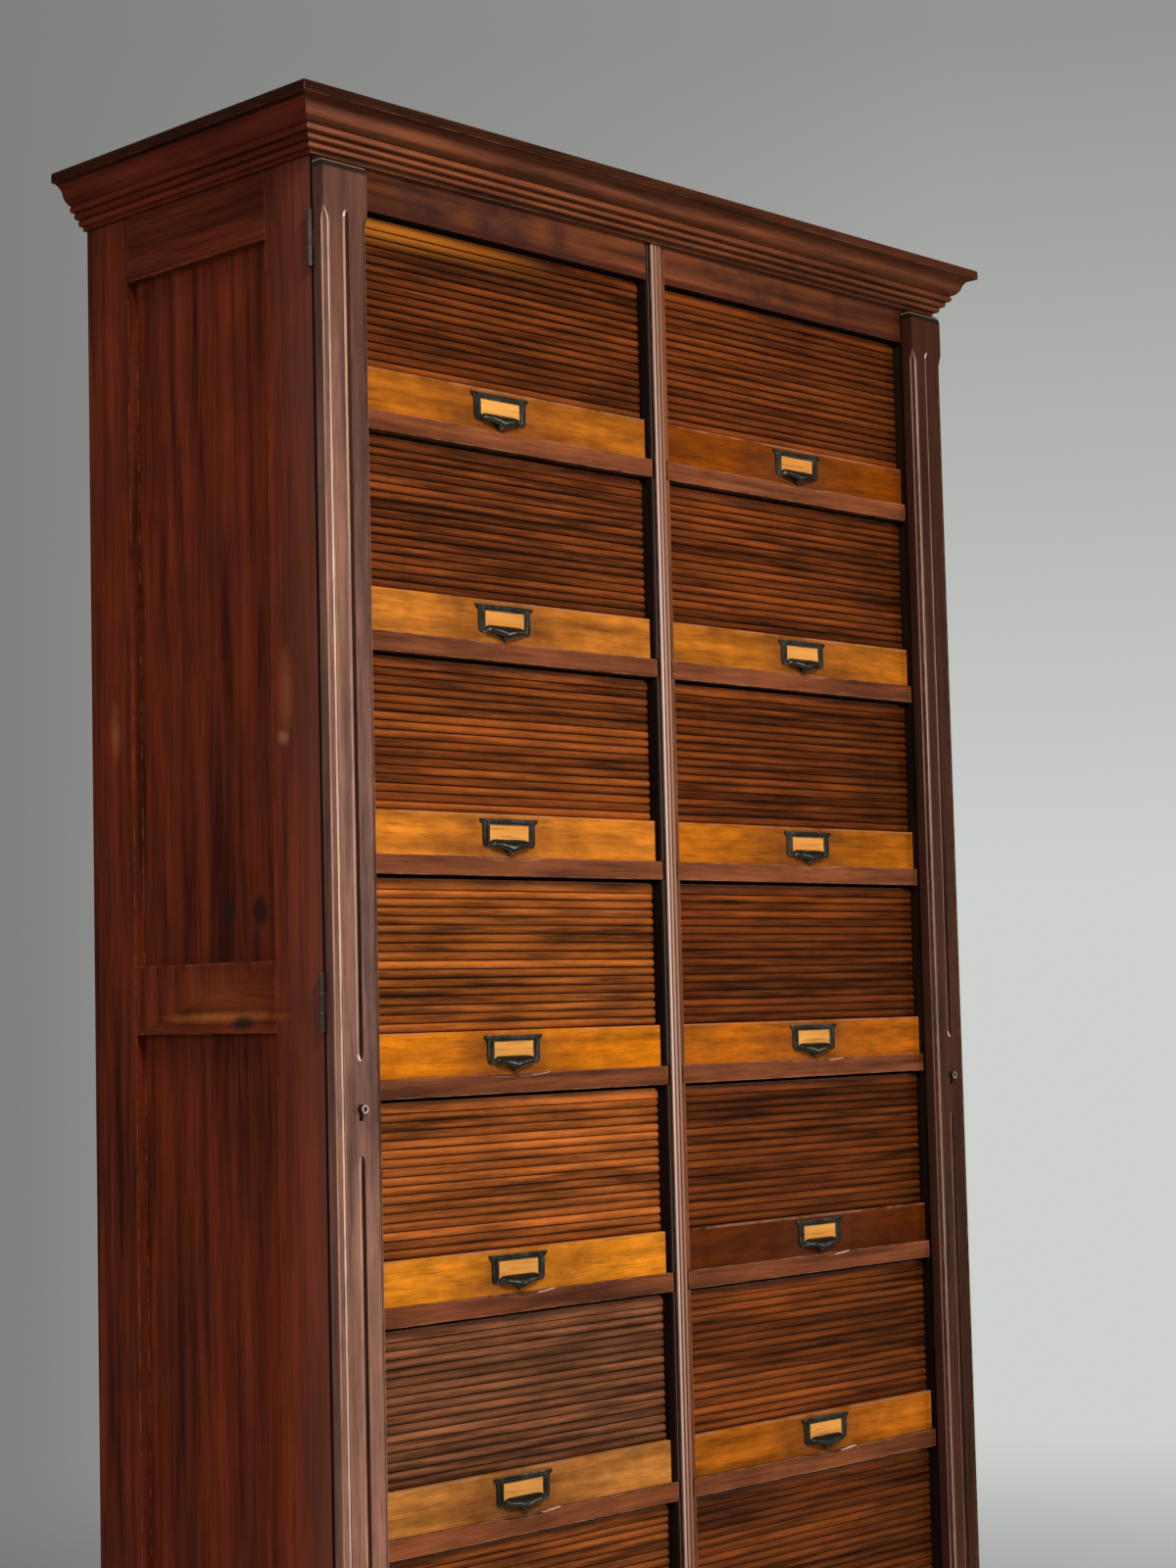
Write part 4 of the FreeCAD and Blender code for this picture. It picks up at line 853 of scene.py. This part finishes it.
def slat_row(seed, middle_x, bottom):
    """Every slat of one curtain, each a little out of line with its neighbours, and the flat top lath."""
    chance = random.Random(seed)
    bm = bmesh.new()
    half_long = HALF_BOX - 0.0005
    start = bottom + BOARD_TOP + SLAT_GAP
    for number in range(SLATS):
        verts = bmesh.ops.create_circle(bm, cap_ends=True, segments=24, radius=SLAT_WIDE / 2)["verts"]
        for vert in verts:
            x, y = vert.co.x, vert.co.y
            vert.co = (0.0, SLAT_DEEP * 0.9 - y * 0.93 if y > 0 else SLAT_DEEP, x)
        bmesh.ops.scale(bm, vec=(1, 0.7, 0.8), verts=verts, space=Matrix.Translation((0, -SLAT_DEEP, 0)))
        face, made = verts[0].link_faces[0], set(verts)
        trim = chance.uniform(0.0, 0.0005)
        for run, grow in ((0.0009, 1.0), (2 * half_long - trim - 0.0018, 0.0), (0.0009, -1.0)):
            grown = bmesh.ops.extrude_face_region(bm, geom=[face])["geom"]
            ring = verts_of(grown)
            face = [item for item in grown if isinstance(item, bmesh.types.BMFace)][0]
            bmesh.ops.translate(bm, vec=(run, 0, 0), verts=ring)
            if grow:
                bmesh.ops.scale(bm, vec=(1, 0.7 ** -grow, 0.8 ** -grow), verts=ring,
                                space=Matrix.Translation((0, -SLAT_DEEP, 0)))
            made |= set(ring)
        # Faces near each joint take the joint wood, further on the lower side: dirt and painted shade.
        for strip in {f for vert in made for f in vert.link_faces}:
            spot_on = strip.calc_center_median()
            if spot_on.y > (0.0019 if spot_on.z < 0 else 0.0026) and abs(strip.normal.x) < 0.5:
                strip.material_index = 2
        shift = (-half_long + trim / 2 + middle_x, chance.uniform(0, 0.00025), 0)
        bmesh.ops.translate(bm, vec=shift, verts=list(made))
        spot = (0, DRAWER_Y + CREST, start + SLAT_PITCH * (number + 0.5))
        if number == SLATS - 1:
            quarter = Matrix.Rotation(-math.pi / 2, 3, "X")
            bmesh.ops.rotate(bm, cent=(0, 0, 0), matrix=quarter, verts=list(made))
            spot = (0, DRAWER_Y + CREST + SLAT_DEEP + 0.0046, bottom + CURTAIN_TOP - 0.0004)
        bmesh.ops.translate(bm, vec=spot, verts=list(made))
    before = set(bm.verts)
    low, high = bottom + CURTAIN_TOP - LATH, bottom + CURTAIN_TOP
    board(bm, (middle_x - half_long, DRAWER_Y + CREST, low),
          (middle_x + half_long, DRAWER_Y + CREST + SLAT_DEEP, high))
    lath = [vert for vert in bm.verts if vert not in before]
    corners = [edge for vert in lath for edge in vert.link_edges
               if abs(edge.verts[0].co.y - edge.verts[1].co.y) > 0.001 and edge.verts[0].co.z > high - 0.001]
    bmesh.ops.bevel(bm, geom=list(set(corners)), offset=0.0052, segments=6, affect="EDGES", profile=0.5,
                    material=-1)
    rim = [edge for edge in bm.edges if len(edge.link_faces) == 2 and not before & set(edge.verts)
           and all(abs(vert.co.y - DRAWER_Y - CREST) < 0.0001 for vert in edge.verts)]
    bmesh.ops.bevel(bm, geom=rim, offset=0.0011, segments=3, affect="EDGES", profile=0.5, material=-1)
    board(bm, (middle_x - half_long + 0.004, DRAWER_Y + CREST + SLAT_DEEP - 0.0008, start),
          (middle_x + half_long - 0.004, DRAWER_Y + CREST + SLAT_DEEP + 0.0006, high - 0.004), index=1)
    bmesh.ops.recalc_face_normals(bm, faces=bm.faces)
    return bm


def slat_tones(start, warm_top):
    """No two slats quite the same shade, a rubbed top arris, and on one curtain two orange ones."""
    def mark(tree, colour):
        place = part_axes(tree)
        above = maths(tree, "SUBTRACT", place["Z"], start)
        number = maths(tree, "FLOOR", maths(tree, "DIVIDE", above, SLAT_PITCH))
        tone = tree.nodes.new("ShaderNodeTexWhiteNoise")
        tone.noise_dimensions = "1D"
        tree.links.new(maths(tree, "ADD", number, start * 1000), tone.inputs["W"])
        shade = ramp_node(tree, tone.outputs["Value"], 0.0, 1.0, 0.70, 1.25)
        colour = colour_mix(tree, 1.0, colour, shade, "MULTIPLY")
        fall = ramp_node(tree, place["X"], 0.17, 0.36, 1.08, 0.68)
        colour = colour_mix(tree, 1.0, colour, fall, "MULTIPLY")
        if warm_top:
            warm = times(tree, ramp_node(tree, above, 0.1010, 0.1160, 0.0, 0.62),
                         ramp_node(tree, place["X"], -0.12, -0.30))
            colour = colour_mix(tree, warm, colour, (0.50, 0.155, 0.012))
        patchy = ramp_node(tree, noise_node(tree, part_place(tree), 60.0, 4.0, 0.7), 0.35, 0.6, 0.15, 0.6)
        rubbed = times(tree, ramp_node(tree, above, 0.1237, 0.1244), patchy)
        return colour_mix(tree, rubbed, colour, (0.40, 0.21, 0.12))
    return mark


joint_dirt_and_shade_wood = wood("slat_joint_wood", (0.010, 0.0035, 0.0016), (0.034, 0.0115, 0.004), "x", gloss=0.7,
                  grime=0.4, stretch=22.0)
backing = plain_material("curtain_cloth", (0.03, 0.024, 0.02), 0.95)
for column, side, row, bottom in PLACES:
    key = "%s_%d" % (column, row)
    tint = CURTAIN_TINTS[column][row - 1]
    slat_wood = wood("slat_wood_" + key, scaled(tint, 0.22), scaled(tint, 1.2), "x",
                     gloss=0.36, grime=0.28, shift=(row * 2.3, side * 4.1, row * 7.7),
                     stretch=34.0, shine=0.04,
                     marks=slat_tones(bottom + BOARD_TOP + SLAT_GAP, key == "left_1"))
    curtain = finish_piece("slats_" + key, slat_row(row + 20 * side, side * COLUMN_X, bottom),
                           [slat_wood, backing, joint_dirt_and_shade_wood], "drawer_" + key,
                           ("curtain_" + key,), smooth=38)
    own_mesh(curtain)

# --- Pulls ------------------------------------------------------------------------------------
# Cast label holders of dark bronze: a flat plate with flared ears and a pendant tip, a raised bead
# round the window, a pale card behind it, and a shallow hood below for the fingertips.
bronze = metal("aged_bronze", (0.026, 0.024, 0.018), (0.34, 0.30, 0.23), 0.34, arris=0.0006, rubbed=0.65)
label_card = wood("label_card", (0.66, 0.25, 0.045), (0.86, 0.40, 0.09), "x", gloss=0.7,
                  grime=0.25, stretch=9.0)
PLATE_BACK, PULL_FOOT = DRAWER_Y + 0.004, LEDGE + 0.0083
PLATE_OUTLINE = ((-33.6, 23.6), (-33.2, 21.2), (-31.4, 20.4), (-30.2, 18.6), (-30.0, 3.0), (-28.6, 0.6),
                 (-25.0, 0.0), (-10.6, 0.0), (-7.4, -1.0), (-4.8, -2.7), (-2.2, -4.6), (0.0, -6.6),
                 (2.2, -4.6), (4.8, -2.7), (7.4, -1.0), (10.6, 0.0), (25.0, 0.0), (28.6, 0.6), (30.0, 3.0),
                 (30.2, 18.6), (31.4, 20.4), (33.2, 21.2), (33.6, 23.6))
WINDOW = ((-22.8, 4.6), (22.8, 4.6), (22.8, 18.5), (-22.8, 18.5))


def plate_ring(bm, outline, depth):
    """A closed row of edges through points given in mm, at one depth."""
    return ring_of(bm, [(x * 0.001, depth, z * 0.001) for x, z in outline])


def pull_shape():
    """One label holder with its window, raised bead, hood and card, round its own lower middle."""
    bm = bmesh.new()
    plate = bmesh.ops.contextual_create(bm, geom=plate_ring(bm, PLATE_OUTLINE, 0.0))["faces"]
    grown = bmesh.ops.extrude_face_region(bm, geom=plate)["geom"]
    bmesh.ops.translate(bm, vec=(0, -0.0016, 0), verts=verts_of(grown))
    bmesh.ops.triangulate(bm, faces=bm.faces)
    for spot, way in ((WINDOW[0], (1, 0, 0)), (WINDOW[1], (1, 0, 0)),
                      (WINDOW[0], (0, 0, 1)), (WINDOW[2], (0, 0, 1))):
        bmesh.ops.bisect_plane(bm, geom=bm.verts[:] + bm.edges[:] + bm.faces[:], dist=0.000001,
                               plane_co=(spot[0] * 0.001, 0, spot[1] * 0.001), plane_no=way)
    opening = [f for f in bm.faces if abs(f.normal.y) > 0.9 and abs(f.calc_center_median().x) < 0.0228
               and 0.0046 < f.calc_center_median().z < 0.0185]
    bmesh.ops.delete(bm, geom=opening, context="FACES")
    bmesh.ops.bridge_loops(bm, edges=[e for e in bm.edges if e.is_boundary])
    bmesh.ops.recalc_face_normals(bm, faces=bm.faces)
    rim = [e for e in bm.edges if len(e.link_faces) == 2 and e.calc_face_angle() > 0.9]
    bmesh.ops.bevel(bm, geom=rim, offset=0.0004, segments=2, affect="EDGES", profile=0.5, material=-1,
                    clamp_overlap=True)
    loops = []
    for grow, proud in ((4.1, 1.2), (3.9, 2.2), (3.3, 2.8), (2.6, 2.8), (2.0, 2.2), (0.4, 1.8), (0.0, 0.8)):
        outline = [(x + math.copysign(grow, x), z + (grow if z > 10 else -grow)) for x, z in WINDOW]
        loops.append(plate_ring(bm, outline, -proud * 0.001))
    for first, second in zip(loops, loops[1:]):
        bmesh.ops.bridge_loops(bm, edges=first + second)
    hood = bmesh.ops.create_grid(bm, x_segments=32, y_segments=9, size=1.0)["verts"]
    for vert in hood:
        across, down = vert.co.x * 0.998, (vert.co.y + 1) / 2
        full = math.sqrt(1 - across * across)
        top = 4.2 + 2.3 * (1 - across ** 8) ** 0.5
        rim_z = 1.0 - 4.9 * (1 - abs(across)) ** 2.2
        vert.co = (0.0222 * across, -0.0014 - 0.0056 * full ** 0.55 * math.sin(down * math.pi * 0.72),
                   0.001 * (top + (rim_z - top) * down ** 1.2))
    shell = list({face for vert in hood for face in vert.link_faces})
    bmesh.ops.solidify(bm, geom=shell, thickness=0.0011)
    board(bm, (-0.0243, -0.0010, 0.0030), (0.0243, -0.0002, 0.0200), index=1)
    return bm


for column, side, row, bottom in PLACES:
    key = "%s_%d" % (column, row)
    bm = pull_shape()
    place = (side * (COLUMN_X + PULL_SHIFT), PLATE_BACK, bottom + PULL_FOOT)
    bmesh.ops.translate(bm, vec=place, verts=bm.verts)
    finish_piece("holder_" + key, bm, [bronze, label_card], "drawer_" + key, ("pull_" + key,),
                 smooth=35)
